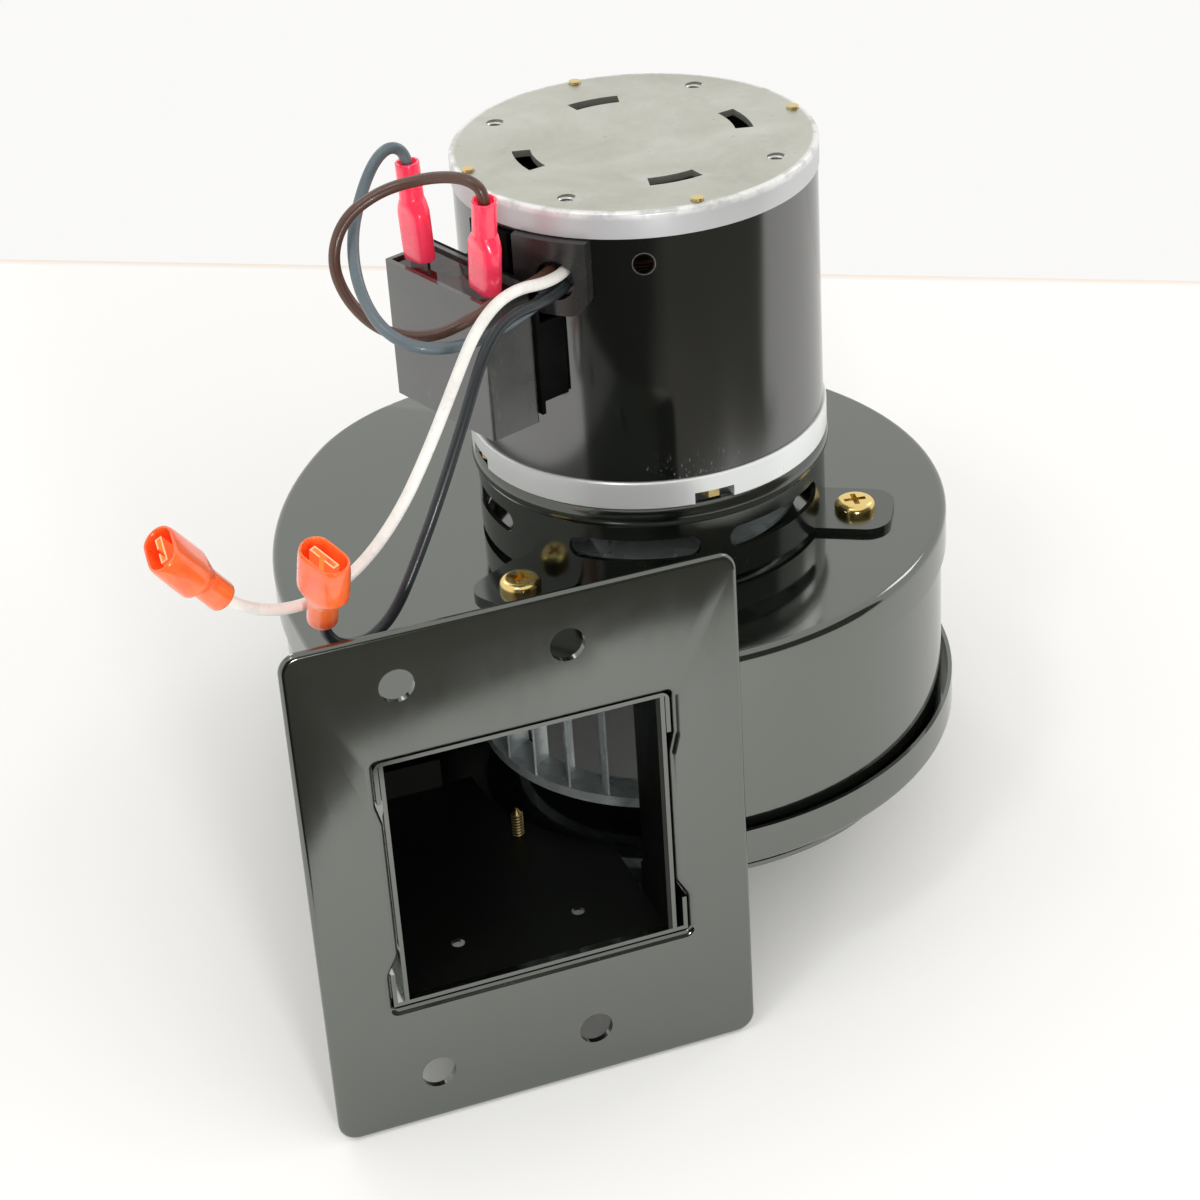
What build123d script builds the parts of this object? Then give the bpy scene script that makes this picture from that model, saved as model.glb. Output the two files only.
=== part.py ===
from build123d import *
import math
import os

# A small convection blower: an open motor stands on a scroll housing and turns a squirrel cage
# wheel inside it. Air enters from below and leaves through the flanged outlet towards -Y.
# Millimetres. The origin is on the motor axis at the underside of the housing, +Z up the motor.

os.makedirs("parts", exist_ok=True)

# Housing sheet metal
SHEET = 1.0
LIP_GAP = 0.2
PLATE_TOP_Z = 65.0
SCROLL_FLOOR_Z = 8.0
TOP_LIP = 10.5
BOTTOM_LIP = 10.0
BOTTOM_LIP_OUT = 1.5
PLATE_EDGE_R = 2.0
SCROLL_START = (-4.5, -71.6)
SCROLL_ARCS = [(77.0, 0.0), (79.0, 50.0), (94.5, 100.0), (57.0, 140.0), (119.0, 180.0)]
DUCT_RIGHT_X = -30.0
PAN_R = 61.0
PAN_BACK_Y = 0.0
CUTOFF_NOSE_Y = -57.0
CUTOFF_NOSE_R = 5.0
FLOOR_HOLE_R = 1.6
FLOOR_HOLES = [(-75.9, -63.5), (-46.6, -63.5)]

# Outlet flange
FLANGE_W = 102.0
FLANGE_H = 130.0
FLANGE_T = 1.5
FLANGE_FRONT_Y = -80.0
FLANGE_CENTRE = (-61.0, 31.5)
FLANGE_CORNER_R = 4.5
FLANGE_EDGE_R = 1.2
FLANGE_FIT = 0.3
FLANGE_RIM = 2.5
FLANGE_ROLL = 1.8
NOTCH_SLOPE = 5.0
NOTCH_BEND_R = 4.0
OPENING_CORNER_R = 1.2
DUCT_RECESS = 1.0
BOLT_HOLE_R = 4.0
BOLT_SPACING_X = 38.1
BOLT_SPACING_Z = 104.2
BOLT_CENTRE_X = -68.5

# Inlet ring under the housing
INLET_GAP = 3.7
INLET_RING_R = 62.0
INLET_RING_T = 1.2
INLET_COLLAR_TOP_Z = 7.6
ACCESS_R = 52.0

# Motor mount ring and its screws
MOUNT_STEP = 0.1
MOUNT_T = 1.2
MOUNT_TOP_Z = 87.8
MOUNT_BEAD = 1.1
MOUNT_BEAD_H = 5.0
SKIRT_GAP = 1.5
SLOT_LOW_Z = 73.8
SLOT_HIGH_Z = 79.3
SLOT_ARC = 43.0
SLOT_OFFSET = 26.5
EAR_T = 1.5
EAR_W = 20.0
EAR_TIP = 9.0
EAR_CORNER_R = 6.0
EAR_ANGLES = (-150.0, -30.0, 90.0)
MOUNT_SCREW_REACH = 7.4
SCREW_HEAD_R = 4.9
SCREW_HEAD_H = 2.6
SCREW_R = 2.4
SCREW_LENGTH = 9.0
LOW_SCREW_RING_R = 57.0
LOW_SCREW_HEAD_R = 4.0
LOW_SCREW_HEAD_H = 2.4
LOW_SCREW_R = 1.3
LOW_SCREW_TIP_Z = 8.5
HEAD_DOME = 0.65
RECESS_W = 1.3
RECESS_SPAN = 5.2
RECESS_DEPTH = 1.4
SCREW_CLEAR = 0.2

# Motor frame
SHELL_R = 41.7
SHELL_T = 0.8
END_RING_PROUD = 0.7
END_RING_H = 6.8
SHELL_TOP_Z = 154.3
CAP_PROUD = 0.3
CAP_H = 6.1
CAP_PLATE_T = 1.6
CAP_RIM_T = 4.2
CAP_EDGE_R = 0.8
CAP_SLOT_R = 25.6
CAP_SLOT_W = 4.2
CAP_SLOT_ARC = 26.0
TAPPED_R = 2.1
TAPPED_INSET = 6.7
TAPPED_BOSS_R = 3.6
TAPPED_BOSS_H = 2.0
THROUGH_INSET = 2.4
THROUGH_R = 1.35
THROUGH_HEAD_R = 2.6
THROUGH_HEAD_H = 2.2
THROUGH_END = 0.7
NOTCH_W = 9.6
NOTCH_H = 3.0
SHELL_HOLE_R = 2.2
SHELL_HOLE_AT = (-108.3, 148.2)

# Bearings, shaft, rotor and stator
SHAFT_R = 3.96
RUN_CLEAR = 0.04
SHAFT_LOW_Z = 38.5
SHAFT_TOP_Z = 154.0
BEARING_R = 7.0
BEARING_L = 9.0
BEARING_PLAY = 0.3
COLLAR_T = 1.5
ROTOR_R = 22.0
AIR_GAP = 0.5
CORE_LOW_Z = 108.0
CORE_H = 30.0
CORE_FIT = 0.05
WINDING_H = 8.0
WINDING_IN_R = 25.0
WINDING_GAP = 5.7
HUB_R = 11.0

# Cooling fan inside the mount ring
FAN_LOW_Z = 70.0
FAN_DISC_T = 1.0
FAN_GAP = 6.6
FAN_HUB_R = 8.0
FAN_HUB_H = 9.0
FAN_BLADES = 8
FAN_BLADE_H = 12.0
FAN_BLADE_T = 0.8
FAN_TILT = 35.0

# Squirrel cage wheel
WHEEL_R = 46.5
WHEEL_LOW_Z = 8.6
WHEEL_TOP_Z = 58.0
WHEEL_RING_H = 2.6
WHEEL_SHEET = 0.8
BLADES = 28
BLADE_DEPTH = 7.8
BLADE_CURVE = 1.09
BLADE_ARC = 58.0
BLADE_T = 0.5
BLADE_PHASE = -145.6
WHEEL_HUB_R = 9.0
WHEEL_HUB_L = 16.0
SET_SCREW_R = 2.0

# Capacitor, its bracket and terminals
CAPACITOR_AZ = 200.0
CAPACITOR_W = 35.5
CAPACITOR_D = 13.3
CAPACITOR_H = 33.0
CAPACITOR_TOP_Z = 145.0
CAPACITOR_STANDOFF = 4.0
CAPACITOR_WALL = 1.2
EPOXY_DEPTH = 2.0
EPOXY_SUNK = 0.7
BRACKET_T = 1.0
BRACKET_LEG_W = 19.0
BRACKET_LEG_LOW = 3.0
BRACKET_TAB_W = 13.0
BRACKET_TAB_H = 8.0
BRACKET_SCREW_HEAD_R = 3.6
BRACKET_SCREW_R = 1.7
TAB_W = 6.35
TAB_T = 0.8
TAB_H = 7.6
TAB_SIDES = (-10.5, 13.0)
TAB_DEPTH = 0.35
TAB_FOOT = 0.75

# Lead boot and grommet on the shell
BOOT_AZ = -136.5
BOOT_W = 18.0
BOOT_LOW_Z = 136.5
BOOT_TOP_GAP = 0.3
BOOT_T = 2.6
BOOT_CORNER_R = 5.0
LEAD_HOLE_AZ = -134.5
LEAD_HOLE_Z = 144.8
LEAD_HOLE_R = 4.6
GROMMET_FIT = 0.1
GROMMET_PROUD = 0.4

# Push-on connectors: width, depth and length of the hood, its wall, the barrel's radius and length
RED_HOOD = (8.6, 5.2, 11.5)
RED_WALL = 0.45
RED_BARREL = (2.75, 8.5)
ORANGE_HOOD = (12.6, 8.0, 10.8)
ORANGE_WALL = 1.2
ORANGE_BARREL = (3.4, 6.7)
NECK_L = 3.0
THROAT_STEP = 0.3
HOOD_POCKET = 9.0
HOOD_LIFT = 0.9
TAB_LEANS = ((-1.5, 1.3), (11.2, 4.1))
RECEPTACLE_SHEET = 0.35
RECEPTACLE_CLEAR = 0.06
RECEPTACLE_SLIT = 1.4
RECEPTACLE_IN = 0.8
LEAD_IN = 2.0
LEAD_FIT = 0.15

# Leads: radius of the insulation and the points of each route from the grommet to its connector
BROWN_R = 1.3
BROWN_POINTS = [
    (-30.6, -28.9, 146.5), (-34.8, -34.6, 147.2), (-44.9, -39.5, 147.4), (-54.7, -43.5, 145.1),
    (-63.2, -41.0, 141.9), (-71.1, -34.0, 142.0), (-76.4, -27.5, 147.5), (-78.1, -23.0, 155.6),
    (-74.4, -22.0, 164.2), (-66.4, -22.0, 168.8), (-58.8, -24.0, 170.8), (-53.2, -28.5, 172.4),
    (-49.2, -33.7, 172.9), (-46.6, -35.95, 170.35), (-46.6, -35.15, 166.45),
]
GREY_R = 1.3
GREY_POINTS = [
    (-30.6, -29.0, 143.2), (-34.8, -34.6, 142.3), (-45.1, -40.5, 141.0), (-56.4, -46.0, 140.7),
    (-66.7, -47.0, 142.7), (-73.2, -42.0, 146.2), (-75.1, -32.5, 152.4), (-72.8, -21.5, 159.1),
    (-67.5, -13.0, 165.5), (-62.9, -9.5, 171.0), (-58.7, -8.3, 173.2), (-55.4, -8.3, 170.8),
    (-55.3, -8.35, 166.9),
]
WHITE_R = 1.3
WHITE_POINTS = [
    (-28.4, -31.1, 146.5), (-33.1, -37.6, 147.5), (-46.0, -45.5, 151.3), (-55.8, -53.0, 148.0),
    (-63.1, -58.0, 138.6), (-70.6, -61.0, 126.6), (-78.2, -62.0, 114.3), (-86.9, -60.9, 103.3),
    (-97.3, -60.8, 96.9), (-108.1, -64.3, 98.5), (-117.6, -68.3, 105.1), (-120.5, -69.1, 109.1),
]
WHITE_ACROSS = (-0.063, -0.969, -0.239)
BLACK_R = 1.35
BLACK_POINTS = [
    (-28.4, -31.1, 143.3), (-33.7, -37.6, 143.6), (-46.9, -45.0, 145.4), (-54.3, -50.5, 140.1),
    (-60.8, -55.0, 128.5), (-68.6, -59.0, 114.3), (-76.1, -60.8, 100.0), (-82.6, -62.6, 89.7),
    (-89.4, -64.2, 86.2), (-95.3, -64.6, 86.9), (-98.65, -64.8, 91.7), (-98.5, -66.9, 97.3),
]
BLACK_ACROSS = (0.462, -0.828, -0.320)
ARC_SHARE = 0.45

# Values that follow
MOUNT_R = SHELL_R - MOUNT_STEP
MOUNT_SCREW_R = MOUNT_R + MOUNT_SCREW_REACH
EAR_END_R = MOUNT_SCREW_R + EAR_TIP
END_RING_R = SHELL_R + END_RING_PROUD
CAP_R = SHELL_R + CAP_PROUD
TAPPED_RING_R = SHELL_R - TAPPED_INSET
THROUGH_RING_R = SHELL_R - THROUGH_INSET
WINDING_OUT_R = SHELL_R - WINDING_GAP
FAN_R = MOUNT_R - FAN_GAP
CAPACITOR_BACK = SHELL_R + CAPACITOR_STANDOFF
BLADE_IN_R = WHEEL_R - BLADE_DEPTH
BLADE_CURVE_R = BLADE_DEPTH * BLADE_CURVE
INLET_R = BLADE_IN_R - INLET_GAP
DUCT_RIGHT_OUT = DUCT_RIGHT_X + 3 * SHEET + LIP_GAP
DUCT_FRONT_Y = FLANGE_FRONT_Y + DUCT_RECESS
WALL_INSET = SHEET + LIP_GAP
SCROLL_FLOOR_TOP = SCROLL_FLOOR_Z + SHEET
WALL_TOP_Z = PLATE_TOP_Z - SHEET
EAR_TOP_Z = PLATE_TOP_Z + EAR_T
SHELL_LOW_Z = MOUNT_TOP_Z + END_RING_H
CAP_TOP_Z = SHELL_TOP_Z + CAP_H
BEARING_BORE_R = SHAFT_R + RUN_CLEAR
CORE_TOP_Z = CORE_LOW_Z + CORE_H
BOOT_TOP_Z = SHELL_TOP_Z - BOOT_TOP_GAP
ORANGE_L = ORANGE_HOOD[2] + NECK_L + ORANGE_BARREL[1]


def polar(radius, angle):
    """Return the point at this radius and angle about the motor axis."""
    turn = math.radians(angle)
    return (radius * math.cos(turn), radius * math.sin(turn))


def ring(outer, inner, low, high):
    """Return a flat ring between two radii and two heights."""
    height = high - low
    body = Cylinder(outer, height) - Cylinder(inner, height)
    return Pos(0, 0, (low + high) / 2) * body


def disc(radius, low, high, x=0.0, y=0.0):
    """Return an upright cylinder between two heights."""
    return Pos(x, y, (low + high) / 2) * Cylinder(radius, high - low)


def slab(face, low, high):
    """Return a flat outline raised between two heights."""
    return Pos(0, 0, low) * extrude(face, high - low, dir=(0, 0, 1))


def box_between(low, high):
    """Return the box between two opposite corners."""
    size = [b - a for a, b in zip(low, high)]
    middle = [(a + b) / 2 for a, b in zip(low, high)]
    return Pos(*middle) * Box(*size)


def scroll_path(inset):
    """Return the scroll's arcs moved inwards, and the point where they end."""
    x, y = SCROLL_START
    angle = -90.0
    arcs = []
    for radius, end in SCROLL_ARCS:
        step = polar(radius, angle)
        centre = (x - step[0], y - step[1])
        arcs.append(CenterArc(centre, radius - inset, angle, end - angle))
        reach = polar(radius, end)
        x, y = centre[0] + reach[0], centre[1] + reach[1]
        angle = end
    return arcs, (x + inset, y)


def outline(inset, front=DUCT_FRONT_Y):
    """Return the housing's outline seen from above, moved inwards by inset."""
    arcs, left_end = scroll_path(inset)
    low = SCROLL_START[1] + inset
    right = DUCT_RIGHT_OUT - inset
    corners = [left_end, (left_end[0], front), (right, front), (right, low), (SCROLL_START[0], low)]
    return make_face(arcs + Polyline(*corners).edges())


def pan_outline(inset):
    """Return the outline of the sunk part of the floor: a circle and the outlet duct."""
    left = scroll_path(-BOTTOM_LIP_OUT + inset)[1][0]
    right = DUCT_RIGHT_OUT + BOTTOM_LIP_OUT - inset
    back = PAN_BACK_Y - inset
    width = right - left
    depth = back - DUCT_FRONT_Y
    duct = Pos((left + right) / 2, DUCT_FRONT_Y + depth / 2) * Rectangle(width, depth)
    return duct + Circle(PAN_R - inset)


def mouth(inset, low, high):
    """Return the block that opens a lip at the outlet's mouth."""
    left = scroll_path(inset)[1][0]
    right = DUCT_RIGHT_OUT - inset
    return box_between((left, DUCT_FRONT_Y - 1, low), (right, DUCT_FRONT_Y + 2 * SHEET, high))


def top_plate():
    """Flat top sheet with its rolled edge and a lip that hangs outside the scroll wall."""
    body = slab(outline(0), PLATE_TOP_Z - TOP_LIP, PLATE_TOP_Z)
    rim = body.edges().filter_by(Plane.XY).group_by(Axis.Z)[-1]
    rim = [edge for edge in rim if edge.center().Y > DUCT_FRONT_Y + 0.1]
    body = fillet(rim, PLATE_EDGE_R)
    body -= slab(outline(SHEET), PLATE_TOP_Z - TOP_LIP - 1, WALL_TOP_Z)
    body -= mouth(SHEET, PLATE_TOP_Z - TOP_LIP - 1, WALL_TOP_Z)
    body -= disc(HUB_R, WALL_TOP_Z - 1, PLATE_TOP_Z + 1)
    for angle in EAR_ANGLES:
        x, y = polar(MOUNT_SCREW_R, angle)
        body -= disc(SCREW_R + SCREW_CLEAR, WALL_TOP_Z - 1, PLATE_TOP_Z + 1, x, y)
    return body


def floor_plate():
    """Bottom sheet: a sunk floor under wheel and duct, a raised border and a lip turned up."""
    out = -BOTTOM_LIP_OUT
    lip_top = SCROLL_FLOOR_Z + BOTTOM_LIP
    border = slab(outline(out), SCROLL_FLOOR_Z, lip_top)
    edge = border.edges().filter_by(Plane.XY).group_by(Axis.Z)[0]
    edge = [item for item in edge if item.center().Y > DUCT_FRONT_Y + 0.1]
    border = fillet(edge, PLATE_EDGE_R)
    border -= slab(outline(out + SHEET), SCROLL_FLOOR_TOP, lip_top + 1)
    border -= slab(pan_outline(0), 0, lip_top + 1)
    pan = slab(pan_outline(0), 0, SCROLL_FLOOR_TOP)
    pan -= slab(pan_outline(SHEET), SHEET, SCROLL_FLOOR_TOP + 1)
    pan -= mouth(out + SHEET, SHEET, SCROLL_FLOOR_TOP + 1)
    body = border + pan
    body -= disc(ACCESS_R, -1, 2 * SHEET)
    for x, y in FLOOR_HOLES:
        body -= disc(FLOOR_HOLE_R, -1, 2 * SHEET, x, y)
    for angle in EAR_ANGLES:
        x, y = polar(LOW_SCREW_RING_R, angle)
        body -= disc(LOW_SCREW_R + SCREW_CLEAR, -1, 2 * SHEET, x, y)
    return body


def scroll_wall():
    """Upright sheet that runs round the scroll and along both sides of the outlet duct."""
    strip = outline(WALL_INSET) - outline(WALL_INSET + SHEET, DUCT_FRONT_Y - 1)
    body = slab(strip, SHEET, WALL_TOP_Z)
    under = outline(-2 * BOTTOM_LIP_OUT) - pan_outline(SHEET)
    body -= slab(under, 0, SCROLL_FLOOR_TOP)
    return body


def cutoff():
    """Sheet along the duct's right side that turns round the nose and runs back to the wall."""
    outer = DUCT_RIGHT_X + SHEET / 2
    wall_y = SCROLL_START[1] + WALL_INSET + 1.5 * SHEET
    path = FilletPolyline(
        (outer, DUCT_FRONT_Y),
        (outer, CUTOFF_NOSE_Y),
        (0.0, wall_y),
        (18.0, wall_y + 2.0),
        radius=CUTOFF_NOSE_R,
    )
    start = Plane(origin=path @ 0, z_dir=path % 0)
    height = WALL_TOP_Z - SCROLL_FLOOR_TOP
    section = start * Rectangle(height, SHEET)
    turned = [edge for edge in section.edges() if abs(edge.center().Z) > height / 2 - 0.01]
    if not turned:
        section = start * Rectangle(SHEET, height)
    body = Pos(0, 0, (WALL_TOP_Z + SCROLL_FLOOR_TOP) / 2) * sweep(section, path, transition=Transition.RIGHT)
    foot = box_between(
        (DUCT_RIGHT_X, DUCT_FRONT_Y, SHEET),
        (DUCT_RIGHT_X + SHEET, CUTOFF_NOSE_Y - CUTOFF_NOSE_R, SCROLL_FLOOR_TOP),
    )
    keep = slab(outline(WALL_INSET + SHEET + FLANGE_FIT / 3, DUCT_FRONT_Y - 1), 0, PLATE_TOP_Z)
    return (body + foot) & keep


def inlet_ring():
    """Ring under the floor with an upright collar that leads the air into the wheel."""
    plate = ring(INLET_RING_R, INLET_R, -INLET_RING_T, 0)
    collar = ring(INLET_R + INLET_RING_T, INLET_R, -INLET_RING_T, INLET_COLLAR_TOP_Z)
    body = plate + collar
    for angle in EAR_ANGLES:
        x, y = polar(LOW_SCREW_RING_R, angle)
        body -= disc(LOW_SCREW_R + SCREW_CLEAR, -2 * INLET_RING_T, 1, x, y)
    return body


def flange_opening(grow):
    """Return the opening's outline in the flange's plane, with sloped notches for the lips."""
    left = scroll_path(WALL_INSET)[1][0] - FLANGE_FIT - grow
    right = DUCT_RIGHT_OUT - WALL_INSET + FLANGE_FIT + grow
    low = -FLANGE_FIT - grow
    high = PLATE_TOP_Z + FLANGE_FIT + grow
    notch_low = SCROLL_FLOOR_TOP + FLANGE_FIT
    notch_high = PLATE_TOP_Z - TOP_LIP - FLANGE_FIT
    wide_low = BOTTOM_LIP_OUT + WALL_INSET
    right_side = [
        (right + wide_low, low),
        (right + wide_low, notch_low),
        (right, notch_low + NOTCH_SLOPE),
        (right, notch_high - NOTCH_SLOPE),
        (right + WALL_INSET, notch_high),
        (right + WALL_INSET, high),
    ]
    left_side = [(left + right - x, z) for x, z in reversed(right_side)]
    face = make_face(Polyline(*right_side, *left_side, close=True))
    corners = face.vertices().group_by(Axis.Y)
    face = fillet(corners[0] + corners[-1], OPENING_CORNER_R + grow)
    slope_ends = (notch_low, notch_low + NOTCH_SLOPE, notch_high - NOTCH_SLOPE, notch_high)
    bends = [corner for corner in face.vertices() if min(abs(corner.Y - z) for z in slope_ends) < 0.01]
    return fillet(bends, NOTCH_BEND_R)


def upright(face, front, depth):
    """Return an outline drawn in X and Z, thickened backwards from the front plane."""
    plane = Plane(origin=(0, front, 0), x_dir=(1, 0, 0), z_dir=(0, -1, 0))
    return extrude(plane * face, depth, dir=(0, 1, 0))


def outlet_flange():
    """Mounting plate round the outlet with four bolt holes and a rolled rim turned back."""
    plate = Pos(*FLANGE_CENTRE) * RectangleRounded(FLANGE_W, FLANGE_H, FLANGE_CORNER_R)
    body = upright(plate, FLANGE_FRONT_Y, FLANGE_T)
    body += upright(flange_opening(SHEET), FLANGE_FRONT_Y, FLANGE_T + FLANGE_RIM)
    body -= upright(flange_opening(0), FLANGE_FRONT_Y - 1, FLANGE_T + FLANGE_RIM + 2)
    front = body.faces().sort_by(Axis.Y)[0]
    body = fillet(front.inner_wires()[0].edges(), FLANGE_ROLL)
    front = body.faces().sort_by(Axis.Y)[0]
    body = fillet(front.outer_wire().edges(), FLANGE_EDGE_R)
    for side in (-1, 1):
        for level in (-1, 1):
            x = BOLT_CENTRE_X + side * BOLT_SPACING_X / 2
            z = FLANGE_CENTRE[1] + level * BOLT_SPACING_Z / 2
            hole = Pos(x, FLANGE_FRONT_Y, z) * Rot(90, 0, 0) * Cylinder(BOLT_HOLE_R, 4 * FLANGE_T)
            body -= hole
    return body


def arc_slot(radius, width, low, high, middle, span):
    """Return a curved block about the motor axis, for slots."""
    body = ring(radius + width / 2, radius - width / 2, low, high)
    half = span / 2
    reach = 3 * radius
    tips = [(0, 0), polar(reach, middle - half), polar(reach, middle), polar(reach, middle + half)]
    wedge = make_face(Polyline(*tips, close=True).edges())
    return body & slab(wedge, low, high)


def rounded_vent(middle):
    """Return the radial cutter of one long vent with round ends."""
    height = SLOT_HIGH_Z - SLOT_LOW_Z
    z = (SLOT_HIGH_Z + SLOT_LOW_Z) / 2
    round_end = math.degrees(height / 2 / MOUNT_R)
    body = arc_slot(MOUNT_R, 4 * MOUNT_T, SLOT_LOW_Z, SLOT_HIGH_Z, middle, SLOT_ARC - 2 * round_end)
    for side in (-1, 1):
        angle = middle + side * (SLOT_ARC / 2 - round_end)
        x, y = polar(MOUNT_R, angle)
        body += Pos(x, y, z) * Rot(0, 0, angle) * Rot(0, 90, 0) * Cylinder(height / 2, 4 * MOUNT_T)
    return body


def ear(angle):
    """Return one screw ear of the mount ring with its rounded end."""
    inner = MOUNT_R - MOUNT_T
    length = EAR_END_R - inner
    flat = Rectangle(length, EAR_W)
    corners = flat.vertices().group_by(Axis.X)[-1]
    flat = fillet(corners, EAR_CORNER_R)
    flat = Pos(inner + length / 2, 0) * flat
    flat -= Circle(inner)
    body = slab(flat, PLATE_TOP_Z, EAR_TOP_Z)
    body -= disc(SCREW_R + SCREW_CLEAR, PLATE_TOP_Z - 1, EAR_TOP_Z + 1, MOUNT_SCREW_R, 0)
    return Rot(0, 0, angle) * body


def motor_mount_ring():
    """Drawn ring with vents, a rolled top bead and three ears that carries the motor."""
    inner = MOUNT_R - MOUNT_T
    low = PLATE_TOP_Z + SKIRT_GAP
    bead_low = MOUNT_TOP_Z - MOUNT_BEAD_H
    side = Polyline((MOUNT_R, bead_low), (MOUNT_R, low), (inner, low), (inner, MOUNT_TOP_Z), (MOUNT_R, MOUNT_TOP_Z))
    bead_mid = (MOUNT_R + MOUNT_BEAD, MOUNT_TOP_Z - MOUNT_BEAD_H / 2)
    bead = ThreePointArc((MOUNT_R, MOUNT_TOP_Z), bead_mid, (MOUNT_R, bead_low))
    section = make_face(side.edges() + bead.edges())
    body = revolve(Plane.XZ * section, Axis.Z, 360)
    for angle in EAR_ANGLES:
        body += ear(angle)
        for side_of_ear in (-1, 1):
            body -= rounded_vent(angle + 60 + side_of_ear * SLOT_OFFSET)
    return body


def recess(z, depth):
    """Return the cross shaped driver recess, cut downwards from a level."""
    body = box_between((-RECESS_SPAN / 2, -RECESS_W / 2, z - depth), (RECESS_SPAN / 2, RECESS_W / 2, z + 1))
    return body + Rot(0, 0, 90) * body


def pan_screw(head_r, head_h, shank_r, length):
    """Return a pan head screw that stands on z = 0 with its shank below."""
    head = disc(head_r, 0, head_h)
    head = fillet(head.edges().group_by(Axis.Z)[-1], head_h * HEAD_DOME)
    head -= recess(head_h, RECESS_DEPTH)
    shank = disc(shank_r, -length + shank_r, 0)
    tip = Pos(0, 0, -length + shank_r / 2) * Cone(shank_r * 0.25, shank_r, shank_r)
    return head + shank + tip


def mount_screws():
    """Three pan head screws through the ears."""
    items = []
    for angle in EAR_ANGLES:
        x, y = polar(MOUNT_SCREW_R, angle)
        one = pan_screw(SCREW_HEAD_R, SCREW_HEAD_H, SCREW_R, SCREW_LENGTH)
        items.append(Pos(x, y, EAR_TOP_Z) * Rot(0, 0, angle + 20) * one)
    return items


def inlet_ring_screws():
    """Three screws from below through the inlet ring, with their points inside the housing."""
    items = []
    for angle in EAR_ANGLES:
        x, y = polar(LOW_SCREW_RING_R, angle)
        length = LOW_SCREW_TIP_Z + INLET_RING_T
        one = pan_screw(LOW_SCREW_HEAD_R, LOW_SCREW_HEAD_H, LOW_SCREW_R, length)
        items.append(Pos(x, y, -INLET_RING_T) * Rot(180, 0, 0) * one)
    return items


def through_holes(low, high, radius):
    """Return the four rods that cut the through bolt holes."""
    rods = [disc(radius, low, high, *polar(THROUGH_RING_R, 90 * i)) for i in range(4)]
    return rods[0] + rods[1] + rods[2] + rods[3]


def lower_end_bracket():
    """Cast end bracket: outer ring with notches, four arms and the lower bearing's hub."""
    low, high = MOUNT_TOP_Z, SHELL_LOW_Z
    window_in = HUB_R + 2.0
    window_out = THROUGH_RING_R - THROUGH_HEAD_R - 1.5
    body = disc(END_RING_R, low, high)
    body = chamfer(body.edges().filter_by(GeomType.CIRCLE), 0.3)
    for i in range(4):
        middle = 90 * i
        body -= arc_slot((window_in + window_out) / 2, window_out - window_in, low - 1, high + 1, middle, 66)
        notch = box_between((THROUGH_RING_R - THROUGH_HEAD_R - 0.3, -NOTCH_W / 2, low - 1),
                            (END_RING_R + 1, NOTCH_W / 2, low + NOTCH_H))
        body -= Rot(0, 0, middle) * notch
    body += disc(HUB_R, low - 2, low + BEARING_L - 2)
    body -= disc(BEARING_R, low - 3, low + BEARING_L)
    body -= through_holes(low - 1, high + 1, THROUGH_R + SCREW_CLEAR)
    return body


def motor_shell():
    """Rolled tube between the two end pieces, with a small hole and the leads' hole."""
    body = ring(SHELL_R, SHELL_R - SHELL_T, SHELL_LOW_Z, SHELL_TOP_Z)
    body -= radial_rod(SHELL_HOLE_AT[0], SHELL_HOLE_AT[1], SHELL_HOLE_R, SHELL_R - 3, SHELL_R + 3)
    body -= radial_rod(LEAD_HOLE_AZ, LEAD_HOLE_Z, LEAD_HOLE_R, SHELL_R - 3, SHELL_R + 3)
    screw_hole_r = BRACKET_SCREW_R + SCREW_CLEAR / 2
    body -= radial_rod(CAPACITOR_AZ, bracket_screw_z(), screw_hole_r, SHELL_R - 3, SHELL_R + 3)
    return body


def radial_rod(azimuth, z, radius, start, end):
    """Return a round rod that points away from the motor axis."""
    x, y = polar((start + end) / 2, azimuth)
    return Pos(x, y, z) * Rot(0, 0, azimuth) * Rot(0, 90, 0) * Cylinder(radius, end - start)


def top_end_cap():
    """Cast cap with four vents, four tapped holes and the upper bearing's boss."""
    body = disc(CAP_R, SHELL_TOP_Z, CAP_TOP_Z)
    body = fillet(body.edges().filter_by(GeomType.CIRCLE).group_by(Axis.Z)[-1], CAP_EDGE_R)
    under = CAP_TOP_Z - CAP_PLATE_T
    body -= disc(CAP_R - CAP_RIM_T, SHELL_TOP_Z - 1, under)
    boss_low = under - BEARING_L - 1
    body += disc(HUB_R, boss_low, under)
    body -= disc(BEARING_R, boss_low - 1, boss_low + BEARING_L)
    for i in range(4):
        body -= arc_slot(CAP_SLOT_R, CAP_SLOT_W, under - 1, CAP_TOP_Z + 1, 90 * i, CAP_SLOT_ARC)
        x, y = polar(TAPPED_RING_R, 45 + 90 * i)
        body += disc(TAPPED_BOSS_R, under - TAPPED_BOSS_H, under, x, y)
        body -= disc(TAPPED_R, under - TAPPED_BOSS_H - 1, CAP_TOP_Z + 1, x, y)
    body -= through_holes(SHELL_TOP_Z - 1, CAP_TOP_Z + 1, THROUGH_R + SCREW_CLEAR / 2)
    return body


def through_bolts():
    """Four long bolts with their heads in the lower notches and their ends above the cap."""
    seat = MOUNT_TOP_Z + NOTCH_H
    items = []
    for i in range(4):
        x, y = polar(THROUGH_RING_R, 90 * i)
        shank = disc(THROUGH_R, seat, CAP_TOP_Z + THROUGH_END, x, y)
        head = slab(Pos(x, y) * RegularPolygon(THROUGH_HEAD_R, 6), seat - THROUGH_HEAD_H, seat)
        items.append(shank + head)
    return items


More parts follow.
